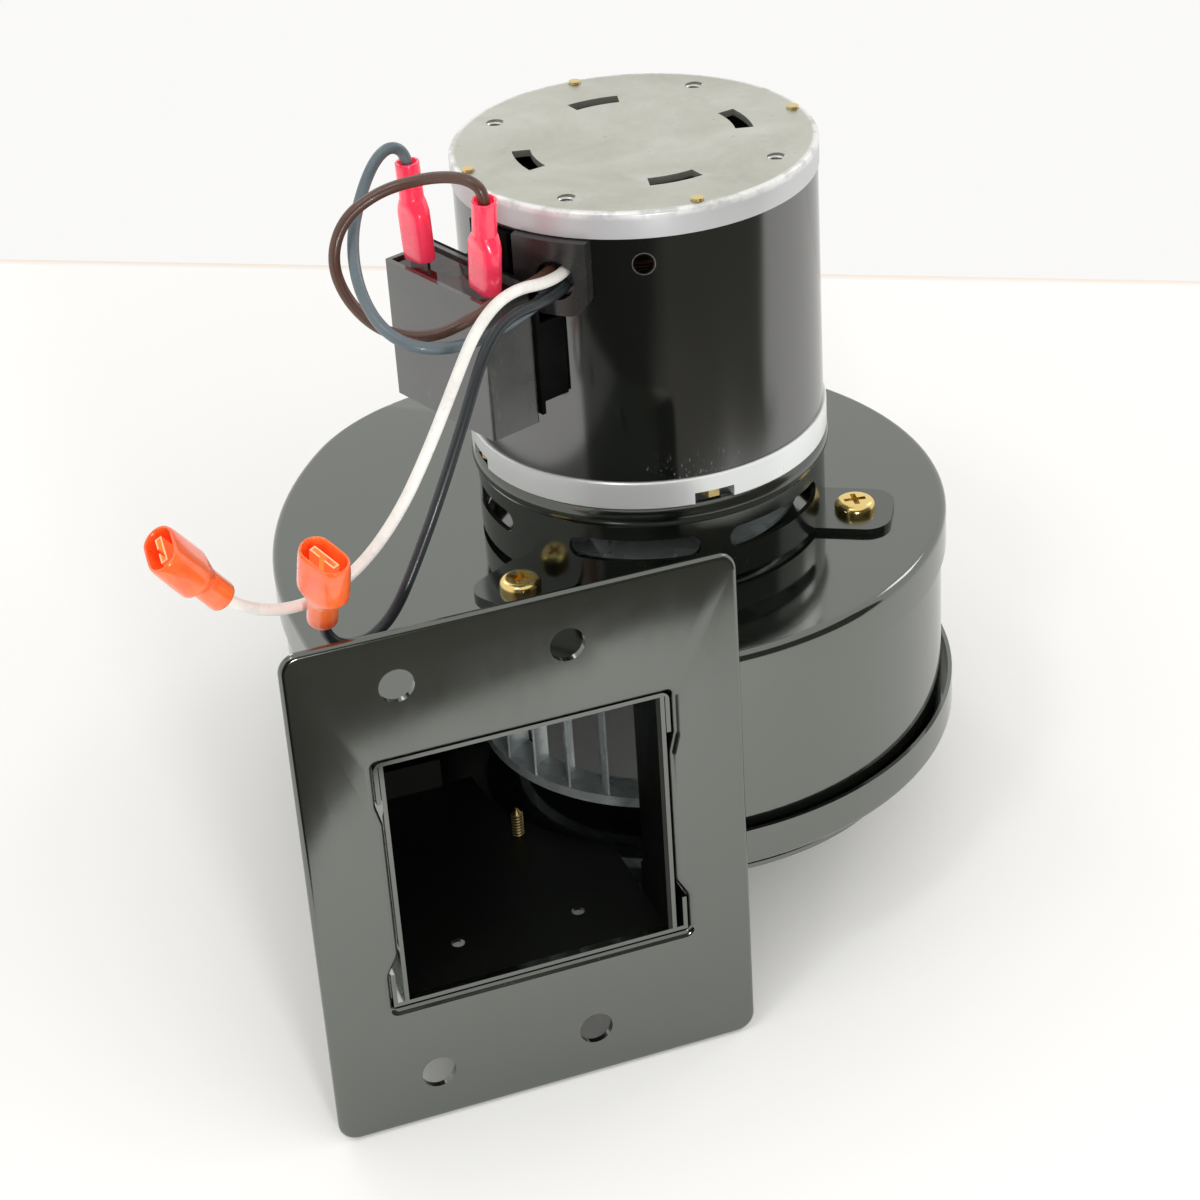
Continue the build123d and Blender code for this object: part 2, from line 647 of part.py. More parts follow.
def lower_bearing():
    """Sleeve bearing in the lower bracket."""
    low = MOUNT_TOP_Z - 2
    return ring(BEARING_R, BEARING_BORE_R, low, low + BEARING_L)


def upper_bearing():
    """Sleeve bearing in the cap's boss."""
    high = CAP_TOP_Z - CAP_PLATE_T - 1
    return ring(BEARING_R, BEARING_BORE_R, high - BEARING_L, high)


def stator_core():
    """Laminated stack with four grooves that clear the through bolts."""
    body = ring(SHELL_R - SHELL_T - CORE_FIT, ROTOR_R + AIR_GAP, CORE_LOW_Z, CORE_TOP_Z)
    body -= through_holes(CORE_LOW_Z - 1, CORE_TOP_Z + 1, THROUGH_R + SCREW_CLEAR)
    for i in range(4):
        x, y = polar(THROUGH_RING_R + THROUGH_R, 90 * i)
        body -= disc(THROUGH_R, CORE_LOW_Z - 1, CORE_TOP_Z + 1, x, y)
    return body


def winding(low):
    """Return one ring of end turns."""
    body = ring(WINDING_OUT_R, WINDING_IN_R, low, low + WINDING_H)
    return fillet(body.edges().filter_by(GeomType.CIRCLE), 2.0)


def stator_windings():
    """End turns above and below the stack."""
    return [winding(CORE_LOW_Z - WINDING_H), winding(CORE_TOP_Z)]


def rotor_core():
    """Cage rotor pressed on the shaft."""
    return ring(ROTOR_R, SHAFT_R, CORE_LOW_Z, CORE_TOP_Z)


def motor_shaft():
    """Shaft through both bearings, the fan and the wheel's hub."""
    body = disc(SHAFT_R, SHAFT_LOW_Z, SHAFT_TOP_Z)
    return chamfer(body.edges().filter_by(GeomType.CIRCLE), 0.5)


def thrust_collars():
    """Two collars on the shaft that keep it between the bearings."""
    low = MOUNT_TOP_Z - 2 + BEARING_L + BEARING_PLAY
    high = CAP_TOP_Z - CAP_PLATE_T - 1 - BEARING_L - BEARING_PLAY
    radius = BEARING_R - 0.5
    return [ring(radius, SHAFT_R, low, low + COLLAR_T), ring(radius, SHAFT_R, high - COLLAR_T, high)]


def cooling_fan():
    """Pressed sheet fan that draws air through the mount ring's vents."""
    disc_top = FAN_LOW_Z + FAN_DISC_T
    body = disc(FAN_R, FAN_LOW_Z, disc_top)
    body += disc(FAN_HUB_R, FAN_LOW_Z, FAN_LOW_Z + FAN_HUB_H)
    blade_in = FAN_HUB_R + 4
    length = FAN_R - blade_in
    drop = FAN_BLADE_H / 2 * math.cos(math.radians(FAN_TILT))
    for i in range(FAN_BLADES):
        blade = Rot(FAN_TILT, 0, 0) * Box(length, FAN_BLADE_T, FAN_BLADE_H)
        blade = Pos(blade_in + length / 2, 0, disc_top + drop - FAN_DISC_T / 2) * blade
        body += Rot(0, 0, 360 / FAN_BLADES * i) * blade
    body -= disc(SHAFT_R, FAN_LOW_Z - 5, FAN_LOW_Z + 40)
    body -= disc(FAN_R + 5, FAN_LOW_Z - 5, FAN_LOW_Z)
    return body


def wheel_blades():
    """Forward curved blades between the wheel's lower ring and its back plate."""
    low = WHEEL_LOW_Z + WHEEL_RING_H
    high = WHEEL_TOP_Z - WHEEL_SHEET
    centre = (BLADE_IN_R, BLADE_CURVE_R)
    outer = CenterArc(centre, BLADE_CURVE_R + BLADE_T / 2, -90, BLADE_ARC)
    inner = CenterArc(centre, BLADE_CURVE_R - BLADE_T / 2, -90, BLADE_ARC)
    ends = [Line(outer @ 0, inner @ 0), Line(outer @ 1, inner @ 1)]
    blade = slab(make_face([outer, inner] + ends), low, high)
    return [Rot(0, 0, BLADE_PHASE + 360 / BLADES * i) * blade for i in range(BLADES)]


def wheel_inlet_ring():
    """Lower ring of the wheel, a channel open downwards."""
    inner = BLADE_IN_R - 0.5
    high = WHEEL_LOW_Z + WHEEL_RING_H
    body = ring(WHEEL_R, inner, WHEEL_LOW_Z, high)
    groove = ring(WHEEL_R - WHEEL_SHEET, inner + WHEEL_SHEET, WHEEL_LOW_Z - 1, high - WHEEL_SHEET)
    return body - groove


def wheel_back_plate():
    """Disc on the motor side that joins the blades to the hub."""
    return ring(WHEEL_R, SHAFT_R + 1, WHEEL_TOP_Z - WHEEL_SHEET, WHEEL_TOP_Z)


def wheel_hub():
    """Hub under the back plate, with its flange, bore and set screw hole."""
    high = WHEEL_TOP_Z - WHEEL_SHEET
    body = disc(WHEEL_HUB_R, high - WHEEL_HUB_L, high)
    body += disc(WHEEL_HUB_R + 6, high - 1.5, high)
    body -= set_screw_rod(0, WHEEL_HUB_R + 1)
    return body - disc(SHAFT_R, high - WHEEL_HUB_L - 1, high + 1)


def set_screw_rod(start, end):
    """Return a radial rod on the hub's set screw axis."""
    z = WHEEL_TOP_Z - WHEEL_SHEET - WHEEL_HUB_L / 2
    return radial_rod(0, z, SET_SCREW_R, start, end)


def wheel_set_screw():
    """Set screw that holds the hub on the shaft."""
    return set_screw_rod(SHAFT_R + 0.1, WHEEL_HUB_R + 0.5)


def beside_motor(width, depth, height, side, back, low):
    """Return a box beside the motor: side along the tangent, back as distance from the axis."""
    body = box_between((back, side - width / 2, low), (back + depth, side + width / 2, low + height))
    return Rot(0, 0, CAPACITOR_AZ) * body


def bracket_screw_z():
    """Return the height of the capacitor bracket's screw."""
    return CAPACITOR_TOP_Z + BRACKET_TAB_H / 2


def capacitor_case():
    """Moulded box with a recess on top for the potting."""
    low = CAPACITOR_TOP_Z - CAPACITOR_H
    body = beside_motor(CAPACITOR_W, CAPACITOR_D, CAPACITOR_H, 0, CAPACITOR_BACK, low)
    body = fillet(body.edges().filter_by(Axis.Z), 0.8)
    inside = beside_motor(CAPACITOR_W - 2 * CAPACITOR_WALL, CAPACITOR_D - 2 * CAPACITOR_WALL,
                          EPOXY_DEPTH + 1, 0, CAPACITOR_BACK + CAPACITOR_WALL, CAPACITOR_TOP_Z - EPOXY_DEPTH)
    return body - inside


def tab_frame(which):
    """Return the plane at the foot of a connector: X along the tab's width, Z up the tab."""
    along = Vector(*polar(1, CAPACITOR_AZ + 90))
    outward = Vector(*polar(1, CAPACITOR_AZ))
    lean_along, lean_out = [math.tan(math.radians(angle)) for angle in TAB_LEANS[which]]
    rise = (along * lean_along + outward * lean_out + Vector(0, 0, 1)).normalized()
    across = (along - rise * along.dot(rise)).normalized()
    back = CAPACITOR_BACK + CAPACITOR_D * (1 - TAB_DEPTH)
    foot = outward * back + along * TAB_SIDES[which] + Vector(0, 0, CAPACITOR_TOP_Z + HOOD_LIFT)
    return Plane(origin=foot, x_dir=across, z_dir=rise)


def terminal(which):
    """Return one flat tab that stands in the potting."""
    low = -HOOD_LIFT - EPOXY_DEPTH + TAB_FOOT
    body = box_between((-TAB_W / 2, -TAB_T / 2, low), (TAB_W / 2, TAB_T / 2, TAB_H - HOOD_LIFT))
    return tab_frame(which) * body


def capacitor_epoxy():
    """Glossy potting in the recess, round the two tabs."""
    depth = EPOXY_DEPTH - EPOXY_SUNK
    body = beside_motor(CAPACITOR_W - 2 * CAPACITOR_WALL, CAPACITOR_D - 2 * CAPACITOR_WALL,
                        depth, 0, CAPACITOR_BACK + CAPACITOR_WALL, CAPACITOR_TOP_Z - EPOXY_DEPTH)
    for which in range(len(TAB_SIDES)):
        body -= terminal(which)
    return body


def capacitor_terminals():
    """Two tabs of the capacitor, each in line with the connector on it."""
    return [terminal(which) for which in range(len(TAB_SIDES))]


def capacitor_bracket():
    """Sheet bracket between capacitor and shell, with two legs and a screw tab."""
    low = CAPACITOR_TOP_Z - CAPACITOR_H + 2
    seat = SHELL_R + 0.1
    plate_back = CAPACITOR_BACK - BRACKET_T
    high = CAPACITOR_TOP_Z
    width = CAPACITOR_W + 2 * BRACKET_T
    body = beside_motor(width, BRACKET_T, high - low, 0, plate_back, low)
    leg_side = CAPACITOR_W / 2 + BRACKET_T / 2
    leg_back = math.sqrt(seat ** 2 - (CAPACITOR_W / 2) ** 2) + 0.1
    for side in (-1, 1):
        leg = beside_motor(BRACKET_T, plate_back - leg_back + 0.1, BRACKET_LEG_W, side * leg_side,
                           leg_back, low + BRACKET_LEG_LOW)
        body += leg
    shelf = beside_motor(BRACKET_TAB_W, CAPACITOR_BACK - seat, BRACKET_T, 0, seat, high - BRACKET_T)
    tab = beside_motor(BRACKET_TAB_W, BRACKET_T, BRACKET_TAB_H + BRACKET_T, 0, seat, high - BRACKET_T)
    body += shelf + tab
    body -= radial_rod(CAPACITOR_AZ, bracket_screw_z(), BRACKET_SCREW_R + SCREW_CLEAR, SHELL_R - 1, SHELL_R + 3)
    return body


def capacitor_screw():
    """Screw that holds the bracket's tab on the shell."""
    one = pan_screw(BRACKET_SCREW_HEAD_R, 2.2, BRACKET_SCREW_R, 7.0)
    x, y = polar(SHELL_R + 0.1 + BRACKET_T, CAPACITOR_AZ)
    return Pos(x, y, bracket_screw_z()) * Rot(0, 0, CAPACITOR_AZ) * Rot(0, 90, 0) * one


def lead_boot():
    """Curved pad under the cap with rounded lower corners and the leads' hole."""
    inner = SHELL_R + 0.05
    body = ring(inner + BOOT_T, inner, BOOT_LOW_Z, BOOT_TOP_Z)
    height = BOOT_TOP_Z - BOOT_LOW_Z
    pad = box_between((inner - 12, -BOOT_W / 2, BOOT_LOW_Z), (inner + 12, BOOT_W / 2, BOOT_TOP_Z))
    low_edges = pad.edges().filter_by(Axis.X).group_by(Axis.Z)[0]
    pad = fillet(low_edges, min(BOOT_CORNER_R, height / 3))
    body &= Rot(0, 0, BOOT_AZ) * pad
    body -= radial_rod(LEAD_HOLE_AZ, LEAD_HOLE_Z, LEAD_HOLE_R, SHELL_R - 3, SHELL_R + 6)
    return body


def lead_grommet():
    """Plug in the shell's hole that the four leads come out of."""
    radius = LEAD_HOLE_R - GROMMET_FIT
    inside = SHELL_R - SHELL_T - 1.5
    return radial_rod(LEAD_HOLE_AZ, LEAD_HOLE_Z, radius, inside, SHELL_R + GROMMET_PROUD)


def push_on(hood, wall, barrel, lead_r):
    """Return an insulating sleeve: its hood opens at z = 0 and its barrel ends at the top."""
    width, depth, hood_l = hood
    barrel_r, barrel_l = barrel
    neck_top = hood_l + NECK_L
    top = neck_top + barrel_l
    face = SlotOverall(width, depth)
    throat = SlotOverall(2 * barrel_r + 2 * THROAT_STEP, 2 * barrel_r + THROAT_STEP)
    body = slab(face, 0, hood_l)
    body += loft([Pos(0, 0, hood_l) * face, Pos(0, 0, neck_top) * throat])
    body += disc(barrel_r, neck_top, top)
    body -= slab(SlotOverall(width - 2 * wall, depth - 2 * wall), -1, HOOD_POCKET)
    return body - disc(lead_r + LEAD_FIT, top - LEAD_IN, top + 1)


def receptacle():
    """Return the sheet metal clip inside a hood: a flat channel with its edges rolled over."""
    grown = RECEPTACLE_CLEAR + RECEPTACLE_SHEET
    half_w = TAB_W / 2 + grown
    half_t = TAB_T / 2 + grown
    body = box_between((-half_w, -half_t, RECEPTACLE_IN), (half_w, half_t, HOOD_POCKET))
    inner_w = TAB_W / 2 + RECEPTACLE_CLEAR
    inner_t = TAB_T / 2 + RECEPTACLE_CLEAR
    body -= box_between((-inner_w, -inner_t, 0), (inner_w, inner_t, HOOD_POCKET - RECEPTACLE_SHEET))
    slit = box_between((-RECEPTACLE_SLIT / 2, 0, 0), (RECEPTACLE_SLIT / 2, half_t + 1, HOOD_POCKET - 1))
    return body - slit


def lead_end_frame(points, length, across):
    """Return the plane at the open end of a loose lead's connector, with its wide side across."""
    last = Vector(*points[-1])
    way = (last - Vector(*points[-2])).normalized()
    tip = last + way * (length - LEAD_IN)
    return Plane(origin=tip, x_dir=Vector(*across), z_dir=way * -1)


def rear_red_connector():
    """Push-on connector of the grey lead on the rear tab."""
    return tab_frame(0) * push_on(RED_HOOD, RED_WALL, RED_BARREL, GREY_R)


def front_red_connector():
    """Push-on connector of the brown lead on the front tab."""
    return tab_frame(1) * push_on(RED_HOOD, RED_WALL, RED_BARREL, BROWN_R)


def white_lead_connector():
    """Loose push-on connector at the white lead's end."""
    sleeve = push_on(ORANGE_HOOD, ORANGE_WALL, ORANGE_BARREL, WHITE_R)
    return lead_end_frame(WHITE_POINTS, ORANGE_L, WHITE_ACROSS) * sleeve


def black_lead_connector():
    """Loose push-on connector at the black lead's end."""
    sleeve = push_on(ORANGE_HOOD, ORANGE_WALL, ORANGE_BARREL, BLACK_R)
    return lead_end_frame(BLACK_POINTS, ORANGE_L, BLACK_ACROSS) * sleeve


def terminal_receptacles():
    """Metal clips of the two connectors on the capacitor's tabs."""
    return [tab_frame(which) * receptacle() for which in range(len(TAB_SIDES))]


def lead_receptacles():
    """Metal clips of the two loose connectors."""
    ends = ((WHITE_POINTS, WHITE_ACROSS), (BLACK_POINTS, BLACK_ACROSS))
    return [lead_end_frame(points, ORANGE_L, across) * receptacle() for points, across in ends]


def arc_radii(points):
    """Return each corner's radius: a share of the shorter run over the tangent of half the turn."""
    radii = []
    for before, here, after in zip(points, points[1:], points[2:]):
        run_in = Vector(*here) - Vector(*before)
        run_out = Vector(*after) - Vector(*here)
        half_turn = math.radians(run_in.get_angle(run_out) / 2)
        radii.append(ARC_SHARE * min(run_in.length, run_out.length) / math.tan(half_turn))
    return radii


def lead(radius, points):
    """Return one lead as straight runs joined by arcs, and print its radii and its volume's ratio."""
    radii = arc_radii(points)
    path = FilletPolyline(*points, radius=radii)
    start = Plane(origin=path @ 0, z_dir=path % 0)
    body = sweep(start * Circle(radius), path)
    ratio = body.volume / (math.pi * radius ** 2 * path.length)
    print("lead", round(path.length, 1), "radii", [round(value, 1) for value in radii], round(ratio, 4))
    return body


def brown_lead():
    """Lead from the grommet to the front tab of the capacitor."""
    return lead(BROWN_R, BROWN_POINTS)


def grey_lead():
    """Lead from the grommet to the rear tab of the capacitor."""
    return lead(GREY_R, GREY_POINTS)


def white_lead():
    """Longer loose lead."""
    return lead(WHITE_R, WHITE_POINTS)


def black_lead():
    """Shorter loose lead."""
    return lead(BLACK_R, BLACK_POINTS)


def save(name, shape):
    """Write one node, or one group of separate solids, and print its solid count."""
    if isinstance(shape, list):
        shape = Compound(children=[Compound(list(item.solids())) for item in shape])
    export_step(shape, f"parts/{name}.step")
    print(name, len(shape.solids()))


NODES = {
    "top_plate": top_plate,
    "floor_plate": floor_plate,
    "scroll_wall": scroll_wall,
    "cutoff": cutoff,
    "inlet_ring": inlet_ring,
    "inlet_ring_screws": inlet_ring_screws,
    "outlet_flange": outlet_flange,
    "motor_mount_ring": motor_mount_ring,
    "mount_screws": mount_screws,
    "lower_end_bracket": lower_end_bracket,
    "motor_shell": motor_shell,
    "top_end_cap": top_end_cap,
    "through_bolts": through_bolts,
    "lower_bearing": lower_bearing,
    "upper_bearing": upper_bearing,
    "stator_core": stator_core,
    "stator_windings": stator_windings,
    "rotor_core": rotor_core,
    "motor_shaft": motor_shaft,
    "thrust_collars": thrust_collars,
    "cooling_fan": cooling_fan,
    "wheel_blades": wheel_blades,
    "wheel_inlet_ring": wheel_inlet_ring,
    "wheel_back_plate": wheel_back_plate,
    "wheel_hub": wheel_hub,
    "wheel_set_screw": wheel_set_screw,
    "capacitor_case": capacitor_case,
    "capacitor_epoxy": capacitor_epoxy,
    "capacitor_terminals": capacitor_terminals,
    "capacitor_bracket": capacitor_bracket,
    "capacitor_screw": capacitor_screw,
    "lead_boot": lead_boot,
    "lead_grommet": lead_grommet,
    "rear_red_connector": rear_red_connector,
    "front_red_connector": front_red_connector,
    "white_lead_connector": white_lead_connector,
    "black_lead_connector": black_lead_connector,
    "terminal_receptacles": terminal_receptacles,
    "lead_receptacles": lead_receptacles,
    "brown_lead": brown_lead,
    "grey_lead": grey_lead,
    "white_lead": white_lead,
    "black_lead": black_lead,
}

for node, build in NODES.items():
    save(node, build())
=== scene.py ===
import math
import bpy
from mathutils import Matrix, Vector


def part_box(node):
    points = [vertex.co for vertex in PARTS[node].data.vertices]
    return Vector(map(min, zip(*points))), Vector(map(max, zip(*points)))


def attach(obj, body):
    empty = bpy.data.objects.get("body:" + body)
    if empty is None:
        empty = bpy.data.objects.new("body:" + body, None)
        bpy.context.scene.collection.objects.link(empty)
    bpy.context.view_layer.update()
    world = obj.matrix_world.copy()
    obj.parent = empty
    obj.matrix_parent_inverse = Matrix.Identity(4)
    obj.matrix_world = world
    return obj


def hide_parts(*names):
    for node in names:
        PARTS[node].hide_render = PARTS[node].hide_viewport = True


bl_info = {
    "name": "Convection Blower Dressing",
    "version": (1, 0, 0),
    "blender": (4, 5, 0),
    "location": "View3D > Sidebar > Blower",
    "description": "Finishes, leads, push-on sleeves, threads and studio for the convection blower",
    "category": "Object",
}

import bmesh
import bpy
from bpy.props import FloatProperty, FloatVectorProperty, IntProperty, PointerProperty
from mathutils import Matrix, Vector

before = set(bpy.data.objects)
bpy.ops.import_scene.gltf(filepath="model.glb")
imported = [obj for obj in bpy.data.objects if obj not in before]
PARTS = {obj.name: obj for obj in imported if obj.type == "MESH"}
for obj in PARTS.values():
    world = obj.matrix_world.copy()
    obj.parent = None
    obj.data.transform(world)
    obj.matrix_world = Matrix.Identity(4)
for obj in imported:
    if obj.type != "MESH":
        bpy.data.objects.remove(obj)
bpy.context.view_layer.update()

MM = 0.001
MICRON = 0.000001
STATIC_BODY = "blower"

# Routes of the four leads, in metres, from the grommet to their connectors
BROWN_ROUTE = [
    (-0.0306, -0.0289, 0.1465), (-0.0348, -0.0346, 0.1472), (-0.0449, -0.0395, 0.1474),
    (-0.0547, -0.0435, 0.1451), (-0.0632, -0.0410, 0.1419), (-0.0711, -0.0340, 0.1420),
    (-0.0764, -0.0275, 0.1475), (-0.0781, -0.0230, 0.1556), (-0.0744, -0.0220, 0.1642),
    (-0.0664, -0.0220, 0.1688), (-0.0588, -0.0240, 0.1708), (-0.0532, -0.0285, 0.1724),
    (-0.0492, -0.0337, 0.1729), (-0.0466, -0.03595, 0.17035), (-0.0466, -0.03515, 0.16645),
]
GREY_ROUTE = [
    (-0.0306, -0.0290, 0.1432), (-0.0348, -0.0346, 0.1423), (-0.0451, -0.0405, 0.1410),
    (-0.0564, -0.0460, 0.1407), (-0.0667, -0.0470, 0.1427), (-0.0732, -0.0420, 0.1462),
    (-0.0751, -0.0325, 0.1524), (-0.0728, -0.0215, 0.1591), (-0.0675, -0.0130, 0.1655),
    (-0.0629, -0.0095, 0.1710), (-0.0587, -0.0083, 0.1732), (-0.0554, -0.0083, 0.1708),
    (-0.0553, -0.00835, 0.1669),
]
WHITE_ROUTE = [
    (-0.0284, -0.0311, 0.1465), (-0.0331, -0.0376, 0.1475), (-0.046, -0.0455, 0.1513),
    (-0.0558, -0.053, 0.148), (-0.0631, -0.058, 0.1386), (-0.0706, -0.061, 0.1266),
    (-0.0782, -0.062, 0.1143), (-0.0869, -0.0609, 0.1033), (-0.0973, -0.0608, 0.0969),
    (-0.1081, -0.0643, 0.0985), (-0.1176, -0.0683, 0.1051), (-0.1205, -0.0691, 0.1091),
]
BLACK_ROUTE = [
    (-0.0284, -0.0311, 0.1433), (-0.0337, -0.0376, 0.1436), (-0.0469, -0.045, 0.1454),
    (-0.0543, -0.0505, 0.1401), (-0.0608, -0.055, 0.1285), (-0.0686, -0.059, 0.1143),
    (-0.0761, -0.0608, 0.1), (-0.0826, -0.0626, 0.0897), (-0.0894, -0.0642, 0.0862),
    (-0.0953, -0.0646, 0.0869), (-0.09865, -0.0648, 0.0917), (-0.0985, -0.0669, 0.0973),
]

# Name, node, route, name of the radius setting, real length in metres and the piece at the far end
LEADS = [
    ("brown_lead_wire", "brown_lead", BROWN_ROUTE, "brown_radius", 0.115,
     ("front_red_sleeve",)),
    ("grey_lead_wire", "grey_lead", GREY_ROUTE, "grey_radius", 0.1065,
     ("rear_red_sleeve",)),
    ("white_lead_wire", "white_lead", WHITE_ROUTE, "white_radius", 0.1317,
     ("white_lead_sleeve",)),
    ("black_lead_wire", "black_lead", BLACK_ROUTE, "black_radius", 0.1177,
     ("black_lead_sleeve",)),
]

# Capacitor: its turn round the motor axis in degrees, how far out and how high its tabs' feet stand in mm,
# and for each tab its place to the side in mm and its leans along and away from the case in degrees
CAPACITOR_TURN = 200.0
TAB_BACK = 54.345
TAB_FOOT_Z = 145.9
TAB_FRAMES = {
    "rear_red_sleeve": (-10.5, -1.5, 1.3),
    "front_red_sleeve": (13.0, 11.2, 4.1),
}

# Loose sleeves: the route of the lead that each one ends, and the way its wide side points
LOOSE_SLEEVES = {
    "white_lead": (WHITE_ROUTE, (-0.063, -0.969, -0.239)),
    "black_lead": (BLACK_ROUTE, (0.462, -0.828, -0.320)),
}

# Sleeves: how far a lead goes into the barrel in mm, facets round the barrel and smoothing levels
LEAD_IN = 2.0
SLEEVE_SEGMENTS = 32
SLEEVE_SMOOTHING = 2

# Threads: steps in one turn, half a ridge's share of the pitch, and where the threads stand in degrees
THREAD_STEPS = 24
RIDGE_SHARE = 0.42
SCREW_ANGLES = (-150.0, -30.0, 90.0)
CAP_HOLE_ANGLES = (45.0, 135.0, 225.0, 315.0)

# Faces inside the outlet duct, where the paint is rougher and reflects less as painted shade, in metres
DUCT_X = (-0.0919, -0.0301)
DUCT_Y = (-0.0770, 0.0)
DUCT_Z = (0.0007, 0.0645)

# Motor shell: where its scratches fade in and out, and its front hole with the hole's bare lip, in metres
SCRATCH_RISE = (0.0950, 0.1035)
SCRATCH_FRONT = (-0.036, -0.0405)
SCRATCH_LEFT = (-0.028, -0.012)
SCRATCH_RIGHT = (0.010, 0.001)
SHELL_HOLE = (-0.01309, -0.03959, 0.1482)
HOLE_LIP = (0.00262, 0.00248)

# Cast brackets: radii of the brushed rim and of its edge with a painted highlight broken into nicked
# spots, and heights of that edge and the low band
RIM_RADII = (0.0412, 0.0417)
EDGE_RADII_IN = (0.0404, 0.0411)
EDGE_RADII_OUT = (0.0419, 0.0422)
EDGE_HEIGHTS = (0.1585, 0.1594)
LOW_BAND_HEIGHTS = (0.0980, 0.0960)

# Loose triangles of a solid closer than this are one, and facets that meet flatter than this look smooth
WELD_GAP = 2 * MICRON
SMOOTH_ANGLE = math.radians(28)

# Floor: its directions, the middle of its rear edge, its reach, and how it carries the blower, in metres
FLOOR_ALONG = Vector((0.936, -0.352, 0.0))
FLOOR_AHEAD = Vector((0.352, 0.936, 0.0))
FLOOR_REAR = Vector((0.0623, 0.2136, 0.0))
FLOOR_REACH = 2.0
REAR_REST_Y = 0.061
FLOOR_CLEARANCE = 0.0006

# Dark cloths: one lies on the floor inside these corners, one stands in an arc in front of the blower
CLOTH_CORNERS = (
    (-2.2, -1.55), (-0.30, -0.205), (-0.14, -0.205), (-0.04, -0.29), (0.066, -0.357), (0.20, -0.33),
    (0.30, -0.20), (0.30, -0.11), (2.2, -0.80), (2.2, -2.2), (-2.2, -2.2),
)
CLOTH_LIFT = 0.0004
CLOTH_RADIUS = 1.7
CLOTH_START = math.radians(215)
CLOTH_TURN = math.radians(125)
CLOTH_HEIGHTS = (-0.8, 1.35)
CLOTH_STEPS = 24

# Lamps: name, place, size in metres and power in watts, all aimed at one point
LAMPS = (
    ("key_lamp", (-0.45, -0.35, 0.95), 0.12, 0.8),
    ("side_lamp", (0.85, 0.25, 0.75), 0.25, 0.8),
    ("back_lamp", (-0.30, 0.85, 0.85), 0.25, 0.9),
    ("outlet_lamp", (-0.10, -0.62, 0.10), 0.08, 1.0),
)
LAMP_AIM = Vector((-0.02, 0.0, 0.07))


class StudioSettings(bpy.types.PropertyGroup):
    """Camera, floor and light."""

    camera_place: FloatVectorProperty(
        name="Camera place", description="Where the camera stands",
        default=(-0.2088, -0.5907, 0.4115), subtype="TRANSLATION", unit="LENGTH")
    camera_aim: FloatVectorProperty(
        name="Camera aim", description="Point in the middle of the picture",
        default=(-0.0108, 0.01376, 0.0341), subtype="TRANSLATION", unit="LENGTH")
    camera_roll: FloatProperty(
        name="Camera roll", description="Turn of the camera about its own axis",
        default=0.068, subtype="ANGLE", unit="ROTATION")
    lens: FloatProperty(
        name="Lens", description="Focal length on a 36 mm sensor", default=88.33)
    floor_colour: FloatVectorProperty(
        name="Floor colour", description="Colour of the pale floor", subtype="COLOR",
        size=3, default=(0.955, 0.953, 0.945))
    backdrop_colour: FloatVectorProperty(
        name="Backdrop colour", description="Colour behind the blower", subtype="COLOR",
        size=3, default=(0.955, 0.95, 0.935))
    dome_strength: FloatProperty(
        name="Dome strength", description="Light of the pale room", default=0.935, min=0.0)


class LeadSettings(bpy.types.PropertyGroup):
    """Sizes and colours of the four leads."""

    brown_radius: FloatProperty(
        name="Brown radius", description="Radius of the brown lead", default=0.0013, unit="LENGTH")
    grey_radius: FloatProperty(
        name="Grey radius", description="Radius of the grey lead", default=0.0013, unit="LENGTH")
    white_radius: FloatProperty(
        name="White radius", description="Radius of the white lead", default=0.0013, unit="LENGTH")
    black_radius: FloatProperty(
        name="Black radius", description="Radius of the black lead", default=0.00135, unit="LENGTH")
    brown: FloatVectorProperty(
        name="Brown", description="Brown insulation", subtype="COLOR", size=3,
        default=(0.088, 0.038, 0.024))
    grey: FloatVectorProperty(
        name="Grey", description="Grey insulation", subtype="COLOR", size=3,
        default=(0.11, 0.148, 0.168))
    white: FloatVectorProperty(
        name="White", description="White insulation", subtype="COLOR", size=3,
        default=(0.86, 0.845, 0.80))
    black: FloatVectorProperty(
        name="Black", description="Blue black insulation", subtype="COLOR", size=3,
        default=(0.022, 0.027, 0.032))


class SleeveSettings(bpy.types.PropertyGroup):
    """Sizes in millimetres and colours of the push-on sleeves."""

    red_size: FloatVectorProperty(
        name="Red size", description="Hood width, depth and length of a red sleeve in mm",
        size=3, default=(8.6, 5.2, 11.5))
    red_barrel: FloatVectorProperty(
        name="Red barrel", description="Barrel radius, length and bore radius in mm",
        size=3, default=(2.75, 8.5, 2.15))
    red_wall: FloatProperty(
        name="Red wall", description="Hood wall of a red sleeve in mm", default=0.45)
    orange_size: FloatVectorProperty(
        name="Orange size", description="Hood width, depth and length of an orange sleeve in mm",
        size=3, default=(12.6, 8.0, 10.8))
    orange_barrel: FloatVectorProperty(
        name="Orange barrel", description="Barrel radius, length and bore radius in mm",
        size=3, default=(3.4, 6.7, 1.6))
    orange_wall: FloatProperty(
        name="Orange wall", description="Hood wall of an orange sleeve in mm", default=1.2)
    neck: FloatProperty(
        name="Neck", description="Length of the neck between hood and barrel in mm", default=3.0)
    pocket: FloatProperty(
        name="Pocket", description="Depth of the hood's pocket in mm", default=9.0)
    red: FloatVectorProperty(
        name="Red", description="Translucent red nylon", subtype="COLOR", size=3,
        default=(1.0, 0.05, 0.12))
    orange: FloatVectorProperty(
        name="Orange", description="Translucent orange nylon", subtype="COLOR", size=3,
        default=(1.0, 0.20, 0.04))


